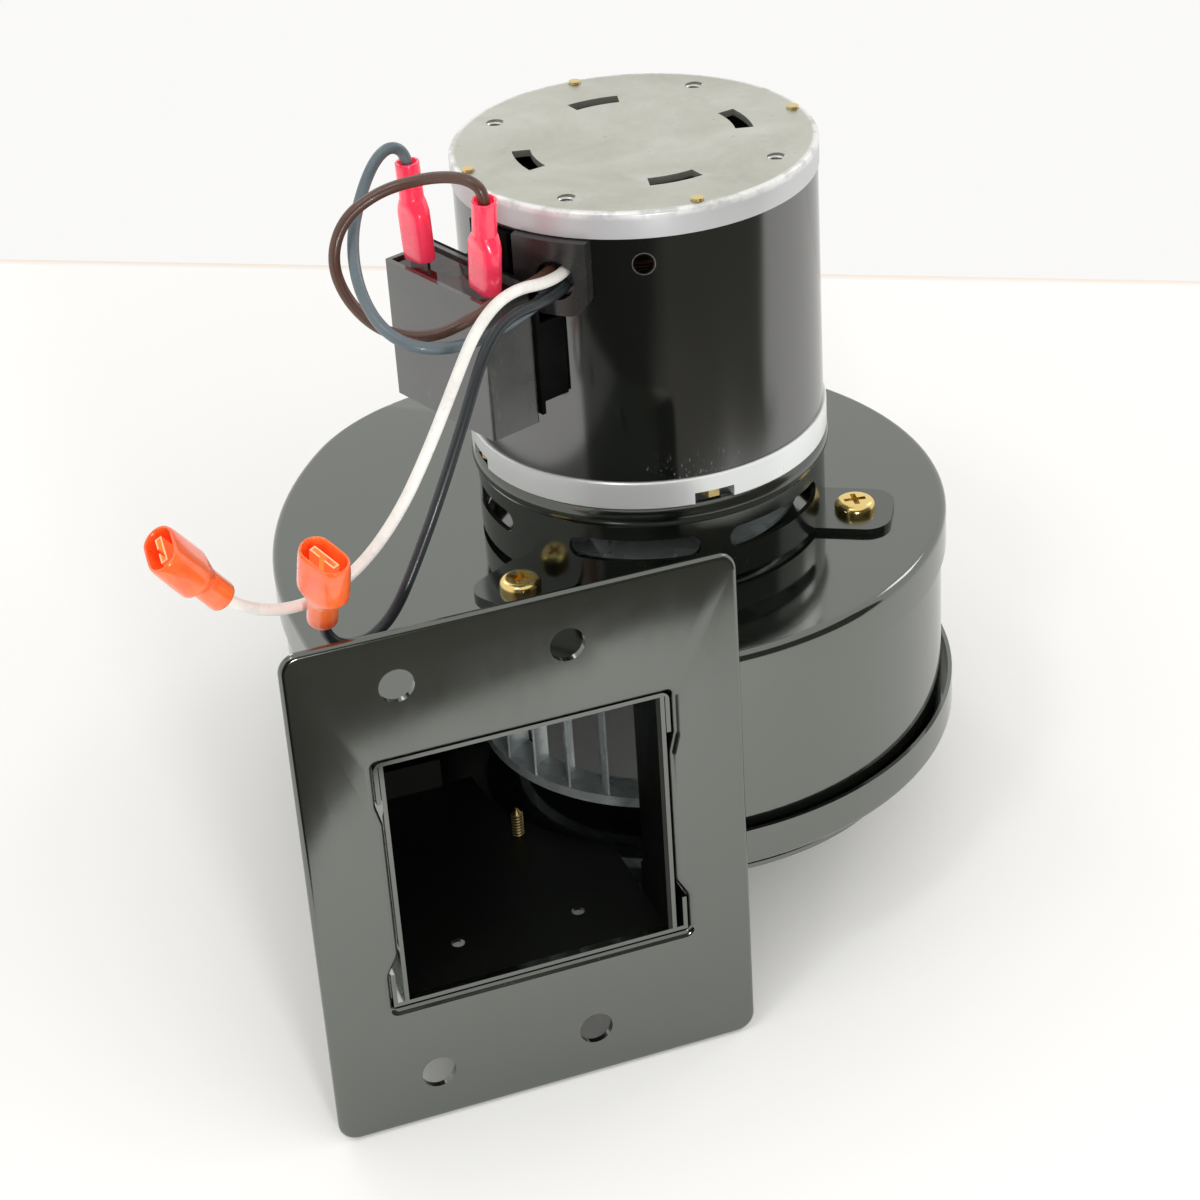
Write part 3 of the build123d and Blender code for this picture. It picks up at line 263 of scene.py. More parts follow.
class ThreadSettings(bpy.types.PropertyGroup):
    """Threads of the inlet ring's screws and of the cap's tapped holes, in millimetres."""

    ring_radius: FloatProperty(
        name="Ring radius", description="Radius of the circle of screws in mm", default=57.0)
    core_radius: FloatProperty(
        name="Core radius", description="Radius of the shank in mm", default=1.3)
    pitch: FloatProperty(
        name="Pitch", description="Rise of the thread in one turn in mm", default=0.8)
    turns: IntProperty(
        name="Turns", description="Number of turns", default=8, min=1)
    height: FloatProperty(
        name="Height", description="Height of the thread in mm", default=0.22)
    tip: FloatProperty(
        name="Tip", description="Plain length at the screw's point in mm", default=1.3)
    hole_ring: FloatProperty(
        name="Hole ring", description="Radius of the circle of tapped holes in mm", default=35.0)
    hole_radius: FloatProperty(
        name="Hole radius", description="Radius of a tapped hole in mm", default=2.1)
    hole_start: FloatProperty(
        name="Hole start", description="Depth at which the holes' thread starts in mm", default=0.35)
    hole_turns: IntProperty(
        name="Hole turns", description="Number of turns in a tapped hole", default=3, min=1)


class FinishSettings(bpy.types.PropertyGroup):
    """Colours of the metal and moulded finishes."""

    paint: FloatVectorProperty(
        name="Paint", description="Gloss black paint", subtype="COLOR", size=3,
        default=(0.0052, 0.0060, 0.0050))
    cast: FloatVectorProperty(
        name="Cast alloy", description="Satin cast alloy", subtype="COLOR", size=3,
        default=(0.60, 0.60, 0.54))
    yellow_zinc: FloatVectorProperty(
        name="Yellow zinc", description="Yellow plated screws", subtype="COLOR", size=3,
        default=(0.86, 0.62, 0.22))
    zinc_sheet: FloatVectorProperty(
        name="Zinc sheet", description="Galvanised wheel and fan", subtype="COLOR", size=3,
        default=(0.70, 0.76, 0.76))
    moulding: FloatVectorProperty(
        name="Moulding", description="Satin moulded plastic", subtype="COLOR", size=3,
        default=(0.030, 0.031, 0.030))


def put(tree, kind, **values):
    """Add a node and set its properties or its inputs."""
    node = tree.nodes.new(kind)
    for key, value in values.items():
        if hasattr(node, key):
            setattr(node, key, value)
            continue
        socket = node.inputs[key.replace("_", " ")]
        if isinstance(value, bpy.types.NodeSocket):
            tree.links.new(value, socket)
        else:
            socket.default_value = value
    return node


def start_material(name):
    """Return a new material's tree, its shader and Object coordinates."""
    material = bpy.data.materials.new(name)
    material.use_nodes = True
    tree = material.node_tree
    shader = tree.nodes["Principled BSDF"]
    place = put(tree, "ShaderNodeTexCoord").outputs["Object"]
    return material, tree, shader, place


def noise(tree, place, scale, detail=3.0, rough=0.5, distortion=0.0):
    """Return a noise value."""
    node = put(tree, "ShaderNodeTexNoise", Scale=scale, Detail=detail, Roughness=rough,
               Distortion=distortion)
    tree.links.new(place, node.inputs["Vector"])
    return node.outputs["Fac"]


def stretched(tree, place, scale):
    """Return coordinates stretched by three factors."""
    node = put(tree, "ShaderNodeMapping", Scale=scale)
    tree.links.new(place, node.inputs["Vector"])
    return node.outputs["Vector"]


def ranged(tree, value, low, high, to_low, to_high):
    """Return a value mapped from one range to another and clamped."""
    node = put(tree, "ShaderNodeMapRange")
    tree.links.new(value, node.inputs[0])
    for index, number in enumerate((low, high, to_low, to_high), start=1):
        node.inputs[index].default_value = number
    return node.outputs[0]


def between(tree, value, limits):
    """Return 1 where a value lies between two limits and 0 elsewhere."""
    above = calc(tree, "GREATER_THAN", value, limits[0])
    below = calc(tree, "LESS_THAN", value, limits[1])
    return calc(tree, "MULTIPLY", above, below)


def faded(tree, value, limits, to_low=0.0, to_high=1.0):
    """Return a value mapped from between two limits to 0 and 1, or to two other numbers."""
    return ranged(tree, value, *limits, to_low, to_high)


def product(tree, *values):
    """Return the product of several values."""
    result = values[0]
    for value in values[1:]:
        result = calc(tree, "MULTIPLY", result, value)
    return result


def calc(tree, operation, first, second=None):
    """Return a maths node's value."""
    node = put(tree, "ShaderNodeMath", operation=operation)
    for index, value in enumerate((first, second)):
        if isinstance(value, bpy.types.NodeSocket):
            tree.links.new(value, node.inputs[index])
        elif value is not None:
            node.inputs[index].default_value = value
    return node.outputs[0]


def blended(tree, factor, first, second):
    """Return the mix of two colours."""
    node = put(tree, "ShaderNodeMix", data_type="RGBA")
    for index, value in ((0, factor), (6, first), (7, second)):
        if isinstance(value, bpy.types.NodeSocket):
            tree.links.new(value, node.inputs[index])
        elif isinstance(value, (int, float)):
            node.inputs[index].default_value = value
        else:
            node.inputs[index].default_value = (*value, 1.0)
    return node.outputs[2]


def roughen(tree, shader, value, smooth, rough):
    """Let the roughness follow a noise value between two numbers."""
    tree.links.new(ranged(tree, value, 0.3, 0.7, smooth, rough), shader.inputs["Roughness"])


def bumped(tree, shader, heights):
    """Give the shader a bump from several heights: value, distance in metres and strength."""
    normal = None
    for value, distance, strength in heights:
        node = put(tree, "ShaderNodeBump", Height=value, Distance=distance, Strength=strength)
        if normal is not None:
            tree.links.new(normal, node.inputs["Normal"])
        normal = node.outputs["Normal"]
    tree.links.new(normal, shader.inputs["Normal"])


def axis_parts(tree, place):
    """Return X, Y, Z and the distance from the motor axis."""
    node = put(tree, "ShaderNodeSeparateXYZ")
    tree.links.new(place, node.inputs[0])
    x, y, z = node.outputs
    squares = calc(tree, "ADD", calc(tree, "MULTIPLY", x, x), calc(tree, "MULTIPLY", y, y))
    return x, y, z, calc(tree, "SQRT", squares)


def paint(name, colour, roughness, ior):
    """Gloss paint on sheet metal, with orange peel, dust specks and faint smears, and painted shade in the
    duct: rougher paint that reflects less.
    """
    material, tree, shader, place = start_material(name)
    smear = noise(tree, stretched(tree, place, (1.0, 1.0, 0.35)), 38.0, 5.0, 0.62)
    dust = noise(tree, place, 2600.0, 2.0, 0.6)
    specks = ranged(tree, dust, 0.70, 0.76, 0.0, 0.35)
    tree.links.new(blended(tree, specks, colour, (0.16, 0.16, 0.15)), shader.inputs["Base Color"])
    rough = ranged(tree, smear, 0.35, 0.75, roughness * 0.75, roughness * 1.5)
    # Painted shade: inside the duct the paint is made rougher and its reflection is turned down
    inside = duct_shade_zone(tree, place)
    rough = calc(tree, "ADD", rough, calc(tree, "MULTIPLY", inside, 0.30))
    rough = calc(tree, "ADD", rough, calc(tree, "MULTIPLY", specks, 0.5))
    tree.links.new(rough, shader.inputs["Roughness"])
    tree.links.new(ranged(tree, inside, 0.0, 1.0, 0.5, 0.08), shader.inputs["Specular IOR Level"])
    shader.inputs["Specular Tint"].default_value = (0.95, 1.0, 0.93, 1.0)
    shader.inputs["IOR"].default_value = ior
    peel = noise(tree, place, 420.0, 2.0, 0.5)
    wave = noise(tree, place, 60.0, 1.0, 0.4)
    bumped(tree, shader, [(wave, 60 * MICRON, 0.10), (peel, 12 * MICRON, 0.22)])
    return material


def duct_shade_zone(tree, place):
    """Return 1 inside the outlet duct, where the paint carries painted shade, and 0 on the outer faces."""
    x, y, z, away = axis_parts(tree, place)
    sides = between(tree, x, DUCT_X)
    height = between(tree, z, DUCT_Z)
    return product(tree, sides, height, between(tree, y, DUCT_Y))


def shell_paint(name, colour):
    """Deep gloss paint on the motor shell, with scratches low at the front and a bare lip on its hole."""
    material, tree, shader, place = start_material(name)
    x, y, z, away = axis_parts(tree, place)
    low = faded(tree, z, SCRATCH_RISE, 1.0, 0.0)
    front = faded(tree, y, SCRATCH_FRONT)
    left = faded(tree, x, SCRATCH_LEFT)
    right = faded(tree, x, SCRATCH_RIGHT)
    zone = calc(tree, "MULTIPLY", product(tree, low, front), product(tree, left, right))
    slanted = stretched(tree, place, (1500.0, 1500.0, 700.0))
    scratch = ranged(tree, noise(tree, slanted, 1.0, 4.0, 0.7, 0.6), 0.60, 0.68, 0.0, 1.0)
    worn = product(tree, scratch, zone, 0.55)
    reach = put(tree, "ShaderNodeVectorMath", operation="DISTANCE")
    tree.links.new(place, reach.inputs[0])
    reach.inputs[1].default_value = SHELL_HOLE
    lip = faded(tree, reach.outputs["Value"], HOLE_LIP)
    base = blended(tree, worn, colour, (0.34, 0.38, 0.42))
    tree.links.new(blended(tree, lip, base, (0.72, 0.71, 0.66)), shader.inputs["Base Color"])
    tree.links.new(lip, shader.inputs["Metallic"])
    smear = noise(tree, stretched(tree, place, (1.0, 1.0, 0.25)), 30.0, 4.0, 0.6)
    rough = ranged(tree, smear, 0.35, 0.75, 0.10, 0.17)
    tree.links.new(calc(tree, "ADD", rough, calc(tree, "MULTIPLY", worn, 0.4)), shader.inputs["Roughness"])
    shader.inputs["IOR"].default_value = 2.3
    drawn = noise(tree, stretched(tree, place, (12.0, 12.0, 420.0)), 1.0, 2.0, 0.5)
    wave = noise(tree, stretched(tree, place, (1.0, 1.0, 0.2)), 55.0, 1.0, 0.4)
    bumped(tree, shader, [(wave, 80 * MICRON, 0.18), (drawn, 4 * MICRON, 0.25)])
    return material


def cast_alloy(name, colour):
    """Satin cast alloy: mottled face, brushed rim band, and on the top edge a painted highlight broken up
    into bright nicked spots.
    """
    material, tree, shader, place = start_material(name)
    x, y, z, away = axis_parts(tree, place)
    cloud = noise(tree, place, 45.0, 5.0, 0.65, 0.4)
    blot = ranged(tree, noise(tree, place, 95.0, 4.0, 0.7), 0.58, 0.72, 0.0, 0.30)
    stain = ranged(tree, noise(tree, place, 700.0, 2.0, 0.5), 0.72, 0.78, 0.0, 0.5)
    dull = (colour[0] * 0.80, colour[1] * 0.81, colour[2] * 0.78)
    bright = (0.72, 0.72, 0.73)
    base = blended(tree, ranged(tree, cloud, 0.3, 0.7, 0.0, 1.0), colour, dull)
    base = blended(tree, blot, base, bright)
    base = blended(tree, stain, base, (0.22, 0.20, 0.16))
    band = faded(tree, away, RIM_RADII)
    low_band = faded(tree, z, LOW_BAND_HEIGHTS)
    base = blended(tree, band, base, (0.53, 0.535, 0.545))
    base = blended(tree, low_band, base, (0.80, 0.82, 0.82))
    band = calc(tree, "MAXIMUM", band, low_band)
    # Painted highlight: a bright band along the cap's top edge, broken up by noise into nicked spots
    edge_highlight_noise = noise(tree, place, 260.0, 3.0, 0.6)
    edge_in = faded(tree, away, EDGE_RADII_IN)
    edge_out = faded(tree, away, EDGE_RADII_OUT, 1.0, 0.0)
    edge = product(tree, edge_in, edge_out, faded(tree, z, EDGE_HEIGHTS))
    edge_highlight_nicks = calc(tree, "MULTIPLY", edge, ranged(tree, edge_highlight_noise, 0.38, 0.55, 0.25, 1.0))
    base = blended(tree, edge_highlight_nicks, base, (0.86, 0.86, 0.85))
    tree.links.new(base, shader.inputs["Base Color"])
    tree.links.new(ranged(tree, band, 0.0, 1.0, 0.78, 0.28), shader.inputs["Metallic"])
    fine = noise(tree, stretched(tree, place, (60.0, 60.0, 2400.0)), 1.0, 3.0, 0.6)
    grain = noise(tree, place, 1500.0, 3.0, 0.6)
    rough = ranged(tree, cloud, 0.3, 0.7, 0.36, 0.50)
    rough = calc(tree, "SUBTRACT", rough, calc(tree, "MULTIPLY", band, 0.10))
    tree.links.new(rough, shader.inputs["Roughness"])
    heights = [(cloud, 90 * MICRON, 0.12), (grain, 14 * MICRON, 0.30), (fine, 6 * MICRON, 0.22)]
    bumped(tree, shader, heights)
    return material


def plated(name, colour, roughness, tint):
    """Plated screws and bolts with a faint iridescence and turned lines."""
    material, tree, shader, place = start_material(name)
    shift = noise(tree, place, 420.0, 3.0, 0.6)
    base = blended(tree, ranged(tree, shift, 0.35, 0.70, 0.0, 0.8), colour, tint)
    tree.links.new(base, shader.inputs["Base Color"])
    shader.inputs["Metallic"].default_value = 1.0
    roughen(tree, shader, shift, roughness * 0.8, roughness * 1.4)
    dent = noise(tree, place, 900.0, 2.0, 0.5)
    bumped(tree, shader, [(dent, 20 * MICRON, 0.28)])
    return material


def sheet_zinc(name, colour):
    """Galvanised sheet with soft spangles and rolling lines."""
    material, tree, shader, place = start_material(name)
    cells = put(tree, "ShaderNodeTexVoronoi", Scale=210.0)
    tree.links.new(place, cells.inputs["Vector"])
    tone = put(tree, "ShaderNodeSeparateColor")
    tree.links.new(cells.outputs["Color"], tone.inputs[0])
    spangle = tone.outputs[0]
    darker = tuple(part * 0.72 for part in colour)
    base = blended(tree, ranged(tree, spangle, 0.0, 1.0, 0.0, 1.0), colour, darker)
    tree.links.new(base, shader.inputs["Base Color"])
    shader.inputs["Metallic"].default_value = 0.6
    tree.links.new(ranged(tree, spangle, 0.0, 1.0, 0.26, 0.42), shader.inputs["Roughness"])
    lines = noise(tree, stretched(tree, place, (1500.0, 1500.0, 60.0)), 1.0, 2.0, 0.5)
    bumped(tree, shader, [(lines, 8 * MICRON, 0.25)])
    return material


def steel(name, colour, roughness):
    """Ground steel with turning marks round the axis."""
    material, tree, shader, place = start_material(name)
    turned = noise(tree, stretched(tree, place, (20.0, 20.0, 3200.0)), 1.0, 3.0, 0.6)
    darker = tuple(part * 0.8 for part in colour)
    base = blended(tree, ranged(tree, turned, 0.3, 0.7, 0.0, 1.0), colour, darker)
    tree.links.new(base, shader.inputs["Base Color"])
    shader.inputs["Metallic"].default_value = 1.0
    roughen(tree, shader, turned, roughness * 0.8, roughness * 1.3)
    bumped(tree, shader, [(turned, 6 * MICRON, 0.3)])
    return material


def layered(name, colour, gap_colour, pitch):
    """Stack of thin layers, such as laminations or wound wire, at a pitch in metres."""
    material, tree, shader, place = start_material(name)
    z = axis_parts(tree, place)[2]
    wobble = calc(tree, "MULTIPLY", noise(tree, place, 120.0, 2.0, 0.5), pitch * 0.4)
    phase = calc(tree, "MULTIPLY", calc(tree, "ADD", z, wobble), math.tau / pitch)
    wave = calc(tree, "SINE", phase)
    base = blended(tree, ranged(tree, wave, -0.9, 0.2, 0.0, 1.0), gap_colour, colour)
    tree.links.new(base, shader.inputs["Base Color"])
    shader.inputs["Metallic"].default_value = 0.6
    roughen(tree, shader, noise(tree, place, 300.0), 0.30, 0.5)
    bumped(tree, shader, [(wave, pitch * 0.35, 0.6)])
    return material


def moulding(name, colour, roughness, grain, scuff=0.0, ior=1.6):
    """Satin moulded plastic with a fine grain and a few rubbed marks."""
    material, tree, shader, place = start_material(name)
    cloud = noise(tree, place, 90.0, 4.0, 0.6)
    rub_noise = noise(tree, stretched(tree, place, (180.0, 180.0, 60.0)), 1.0, 4.0, 0.7)
    rub = ranged(tree, rub_noise, 0.62, 0.74, 0.0, scuff)
    lighter = tuple(part * 1.7 + 0.01 for part in colour)
    base = blended(tree, ranged(tree, cloud, 0.3, 0.7, 0.0, 0.5), colour, lighter)
    base = blended(tree, rub, base, (0.19, 0.19, 0.18))
    tree.links.new(base, shader.inputs["Base Color"])
    roughen(tree, shader, cloud, roughness * 0.85, roughness * 1.2)
    shader.inputs["IOR"].default_value = ior
    fine = noise(tree, place, grain, 2.0, 0.6)
    bumped(tree, shader, [(fine, 16 * MICRON, 0.35), (cloud, 60 * MICRON, 0.08)])
    return material


def potting(name):
    """Glossy dark brown potting with a wavy meniscus."""
    material, tree, shader, place = start_material(name)
    cloud = noise(tree, place, 160.0, 3.0, 0.5)
    brown = ranged(tree, cloud, 0.4, 0.7, 0.0, 1.0)
    base = blended(tree, brown, (0.012, 0.006, 0.006), (0.05, 0.012, 0.010))
    tree.links.new(base, shader.inputs["Base Color"])
    shader.inputs["Roughness"].default_value = 0.06
    shader.inputs["IOR"].default_value = 1.45
    bumped(tree, shader, [(noise(tree, place, 130.0, 2.0, 0.5), 500 * MICRON, 0.35)])
    return material


def nylon(name, colour, deep, painted_glow):
    """Translucent nylon sleeve with soft flow marks and a faint painted emission in its own colour,
    standing for light that passes through it.
    """
    material, tree, shader, place = start_material(name)
    flow = noise(tree, place, 150.0, 2.0, 0.5)
    base = blended(tree, ranged(tree, flow, 0.3, 0.75, 0.0, 1.0), colour, deep)
    tree.links.new(base, shader.inputs["Base Color"])
    roughen(tree, shader, flow, 0.20, 0.30)
    shader.inputs["IOR"].default_value = 1.53
    shader.inputs["Subsurface Weight"].default_value = 0.9
    shader.inputs["Subsurface Radius"].default_value = (1.0, 0.35, 0.3)
    shader.inputs["Subsurface Scale"].default_value = 0.004
    shader.inputs["Transmission Weight"].default_value = 0.12
    # Painted light: the sleeve emits light in its own colour
    shader.inputs["Emission Color"].default_value = (*colour, 1.0)
    shader.inputs["Emission Strength"].default_value = painted_glow
    shader.inputs["Coat Weight"].default_value = 0.8
    shader.inputs["Coat Roughness"].default_value = 0.05
    bumped(tree, shader, [(flow, 80 * MICRON, 0.08), (noise(tree, place, 1300.0), 10 * MICRON, 0.12)])
    return material


def insulation(name, colour, mark=0.0):
    """Extruded insulation with faint length marks and handling dirt."""
    material, tree, shader, place = start_material(name)
    dirt = noise(tree, place, 130.0, 5.0, 0.7)
    dirty = tuple(part * 0.72 for part in colour)
    base = blended(tree, ranged(tree, dirt, 0.45, 0.75, 0.0, 0.8), colour, dirty)
    if mark:
        spots = ranged(tree, noise(tree, place, 620.0, 2.0, 0.5), 0.66, 0.72, 0.0, mark)
        base = blended(tree, spots, base, (0.52, 0.50, 0.46))
    tree.links.new(base, shader.inputs["Base Color"])
    roughen(tree, shader, dirt, 0.30, 0.46)
    shader.inputs["IOR"].default_value = 1.55
    shader.inputs["Coat Weight"].default_value = 0.15
    bumped(tree, shader, [(noise(tree, place, 520.0, 3.0, 0.6), 30 * MICRON, 0.22)])
    return material


def floor_finish(name, colour):
    """Plain pale floor with a very faint grain and a warm painted shade strip along its rear edge, where
    the table's edge turns down.
    """
    material, tree, shader, place = start_material(name)
    grain = noise(tree, place, 14.0, 3.0, 0.5)
    shade = tuple(part * 0.985 for part in colour)
    distance = put(tree, "ShaderNodeVectorMath", operation="DOT_PRODUCT")
    tree.links.new(place, distance.inputs[0])
    distance.inputs[1].default_value = FLOOR_AHEAD
    edge = FLOOR_REAR.dot(FLOOR_AHEAD)
    # Painted shade: a warm darker strip along the rear edge, where the table's edge turns down
    edge_shade = ranged(tree, distance.outputs["Value"], edge - 0.0028, edge - 0.0004, 0.0, 0.8)
    base = blended(tree, grain, colour, shade)
    tree.links.new(blended(tree, edge_shade, base, (0.86, 0.74, 0.64)), shader.inputs["Base Color"])
    shader.inputs["Roughness"].default_value = 0.75
    shader.inputs["Specular IOR Level"].default_value = 0.1
    return material


def cloth_finish(name):
    """Black cloth that turns dark grey towards the right."""
    material, tree, shader, place = start_material(name)
    x = axis_parts(tree, place)[0]
    weave = noise(tree, place, 30.0, 2.0, 0.5)
    rightward = ranged(tree, x, -0.18, -0.05, 0.0, 1.0)
    light = product(tree, rightward, ranged(tree, weave, 0.3, 0.7, 0.75, 1.0))
    base = blended(tree, light, (0.012, 0.012, 0.012), (0.12, 0.115, 0.10))
    tree.links.new(base, shader.inputs["Base Color"])
    shader.inputs["Roughness"].default_value = 0.9
    shader.inputs["Specular IOR Level"].default_value = 0.0
    return material


def floor_height(y):
    """Return the height of the floor, which the flange's low edge and the inlet ring stand on."""
    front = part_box("outlet_flange")[0]
    rear_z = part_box("inlet_ring_screws")[0].z
    slope = (rear_z - front.z) / (REAR_REST_Y - front.y)
    return front.z - FLOOR_CLEARANCE + slope * (y - front.y)


def dress(material, *names):
    """Give CAD nodes their material, and soft shading between their facets."""
    for name in names:
        piece = PARTS[name]
        piece.data.materials.clear()
        piece.data.materials.append(material)
        piece.data.polygons.foreach_set("use_smooth", [True] * len(piece.data.polygons))
        weld = piece.modifiers.new("weld", "WELD")
        weld.merge_threshold = WELD_GAP
        split = piece.modifiers.new("edges", "EDGE_SPLIT")
        split.split_angle = SMOOTH_ANGLE


def add_piece(name, mesh, material):
    """Put a finished mesh in the scene as a piece that rides on the housing."""
    piece = bpy.data.objects.new(name, mesh)
    bpy.context.scene.collection.objects.link(piece)
    mesh.materials.append(material)
    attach(piece, STATIC_BODY)
    return piece


def shape_ring(verts, width, depth, z):
    """Move a ring of vertices to a racetrack of this width and depth at a height."""
    radius = depth / 2
    shift = (width - depth) / 2
    for index, vert in enumerate(verts):
        angle = math.tau * index / len(verts)
        side = math.copysign(shift, math.cos(angle)) if abs(math.cos(angle)) > 0.01 else 0.0
        vert.co = Vector((radius * math.cos(angle) + side, radius * math.sin(angle), z))


def lofted(bm, sections):
    """Extrude a ring through racetrack sections, close both ends and return the mesh."""
    made = bmesh.ops.create_circle(bm, cap_ends=True, segments=SLEEVE_SEGMENTS, radius=1.0)
    ring = made["verts"]
    shape_ring(ring, *sections[0])
    edges = [edge for edge in bm.edges if all(vert in ring for vert in edge.verts)]
    for section in sections[1:]:
        grown = bmesh.ops.extrude_edge_only(bm, edges=edges)["geom"]
        new_verts = [item for item in grown if isinstance(item, bmesh.types.BMVert)]
        new_edges = [item for item in grown if isinstance(item, bmesh.types.BMEdge)]
        pairs = {}
        for edge in bm.edges:
            first, second = edge.verts
            if first in new_verts and second in ring:
                pairs[second] = first
            elif second in new_verts and first in ring:
                pairs[first] = second
        ring = [pairs[vert] for vert in ring]
        shape_ring(ring, *section)
        edges = [edge for edge in new_edges if all(vert in ring for vert in edge.verts)]
    bmesh.ops.contextual_create(bm, geom=edges)
    bmesh.ops.recalc_face_normals(bm, faces=bm.faces)


def sleeve_sections(size, barrel, wall, neck, pocket):
    """Return the sections of a sleeve from its pocket's floor, round the rim, to its bore's floor."""
    width, depth, length = size
    radius, barrel_length, bore = barrel
    shoulder = length + neck
    top = shoulder + barrel_length
    soft = 0.22
    flare = (2 * radius + 1.2, 2 * radius + 0.5, length + neck * 0.72)
    inner = (width - 2 * wall, depth - 2 * wall)
    return [
        (*inner, pocket),
        (*inner, pocket - soft),
        (*inner, 2 * soft),
        (width - wall, depth - wall, 0.0),
        (width, depth, 2 * soft),
        (width, depth, length - soft),
        (width, depth, length),
        flare,
        (2 * radius, 2 * radius, shoulder),
        (2 * radius, 2 * radius, shoulder + 2 * soft),
        (2 * radius, 2 * radius, top - soft),
        (2 * radius, 2 * radius, top),
        (2 * bore, 2 * bore, top),
        (2 * bore, 2 * bore, top - soft),
        (2 * bore, 2 * bore, top - LEAD_IN + soft),
        (2 * bore, 2 * bore, top - LEAD_IN),
    ]


def tab_place(side, lean_along, lean_out):
    """Return the matrix of a sleeve on a capacitor tab."""
    turn = math.radians(CAPACITOR_TURN)
    outward = Vector((math.cos(turn), math.sin(turn), 0.0))
    along = Vector((-math.sin(turn), math.cos(turn), 0.0))
    rise = along * math.tan(math.radians(lean_along)) + outward * math.tan(math.radians(lean_out))
    rise = (rise + Vector((0, 0, 1))).normalized()
    across = (along - rise * along.dot(rise)).normalized()
    foot = outward * TAB_BACK + along * side + Vector((0, 0, TAB_FOOT_Z))
    return frame_matrix(foot * MM, across, rise)


def loose_place(route, across, length):
    """Return the matrix of the sleeve that a loose lead ends in, with its wide side across."""
    last = Vector(route[-1])
    way = (last - Vector(route[-2])).normalized()
    tip = last + way * (length - LEAD_IN) * MM
    across = Vector(across)
    across = (across - way * across.dot(way)).normalized()
    return frame_matrix(tip, across, -way)


def frame_matrix(origin, across, rise):
    """Return the matrix with this origin, X axis and Z axis."""
    third = rise.cross(across)
    turned = Matrix((across, third, rise)).transposed().to_4x4()
    return Matrix.Translation(origin) @ turned


def make_sleeve(name, node, sections, place, material):
    """Build one sleeve in place of its plain solid."""
    bm = bmesh.new()
    lofted(bm, sections)
    bmesh.ops.scale(bm, vec=(MM, MM, MM), verts=bm.verts)
    bmesh.ops.transform(bm, matrix=place, verts=bm.verts)
    mesh = bpy.data.meshes.new(name)
    bm.to_mesh(mesh)
    bm.free()
    mesh.polygons.foreach_set("use_smooth", [True] * len(mesh.polygons))
    piece = add_piece(name, mesh, material)
    smooth = piece.modifiers.new("soft", "SUBSURF")
    smooth.levels = SLEEVE_SMOOTHING
    smooth.render_levels = SLEEVE_SMOOTHING
    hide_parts(node)
    return piece


def thread_mesh(name, ridge, start, pitch, turns):
    """Spin a ridge, given by the radii of its foot and its crest, into a thread on the Z axis."""
    foot, crest = ridge
    half = pitch * RIDGE_SHARE
    bm = bmesh.new()
    points = ((foot, -half), (crest, 0.0), (foot, half))
    verts = [bm.verts.new((radius, 0.0, start + rise)) for radius, rise in points]
    edges = [bm.edges.new(pair) for pair in zip(verts, verts[1:])]
    bmesh.ops.spin(bm, geom=verts + edges, cent=(0, 0, 0), axis=(0, 0, 1), angle=math.tau * turns,
                   dvec=(0, 0, pitch / THREAD_STEPS), steps=THREAD_STEPS * turns, use_duplicate=False)
    bmesh.ops.recalc_face_normals(bm, faces=bm.faces)
    mesh = bpy.data.meshes.new(name)
    bm.to_mesh(mesh)
    bm.free()
    return mesh


def repeat_thread(name, one, ring, angles, finish):
    """Set copies of a thread on a ring round the motor axis and join them in one piece."""
    bm = bmesh.new()
    for angle in angles:
        turn = math.radians(angle)
        copy = one.copy()
        copy.transform(Matrix.Translation((ring * math.cos(turn), ring * math.sin(turn), 0)))
        bm.from_mesh(copy)
        bpy.data.meshes.remove(copy)
    bmesh.ops.scale(bm, vec=(MM, MM, MM), verts=bm.verts)
    mesh = bpy.data.meshes.new(name)
    bm.to_mesh(mesh)
    bm.free()
    bpy.data.meshes.remove(one)
    add_piece(name, mesh, bpy.data.materials[finish])


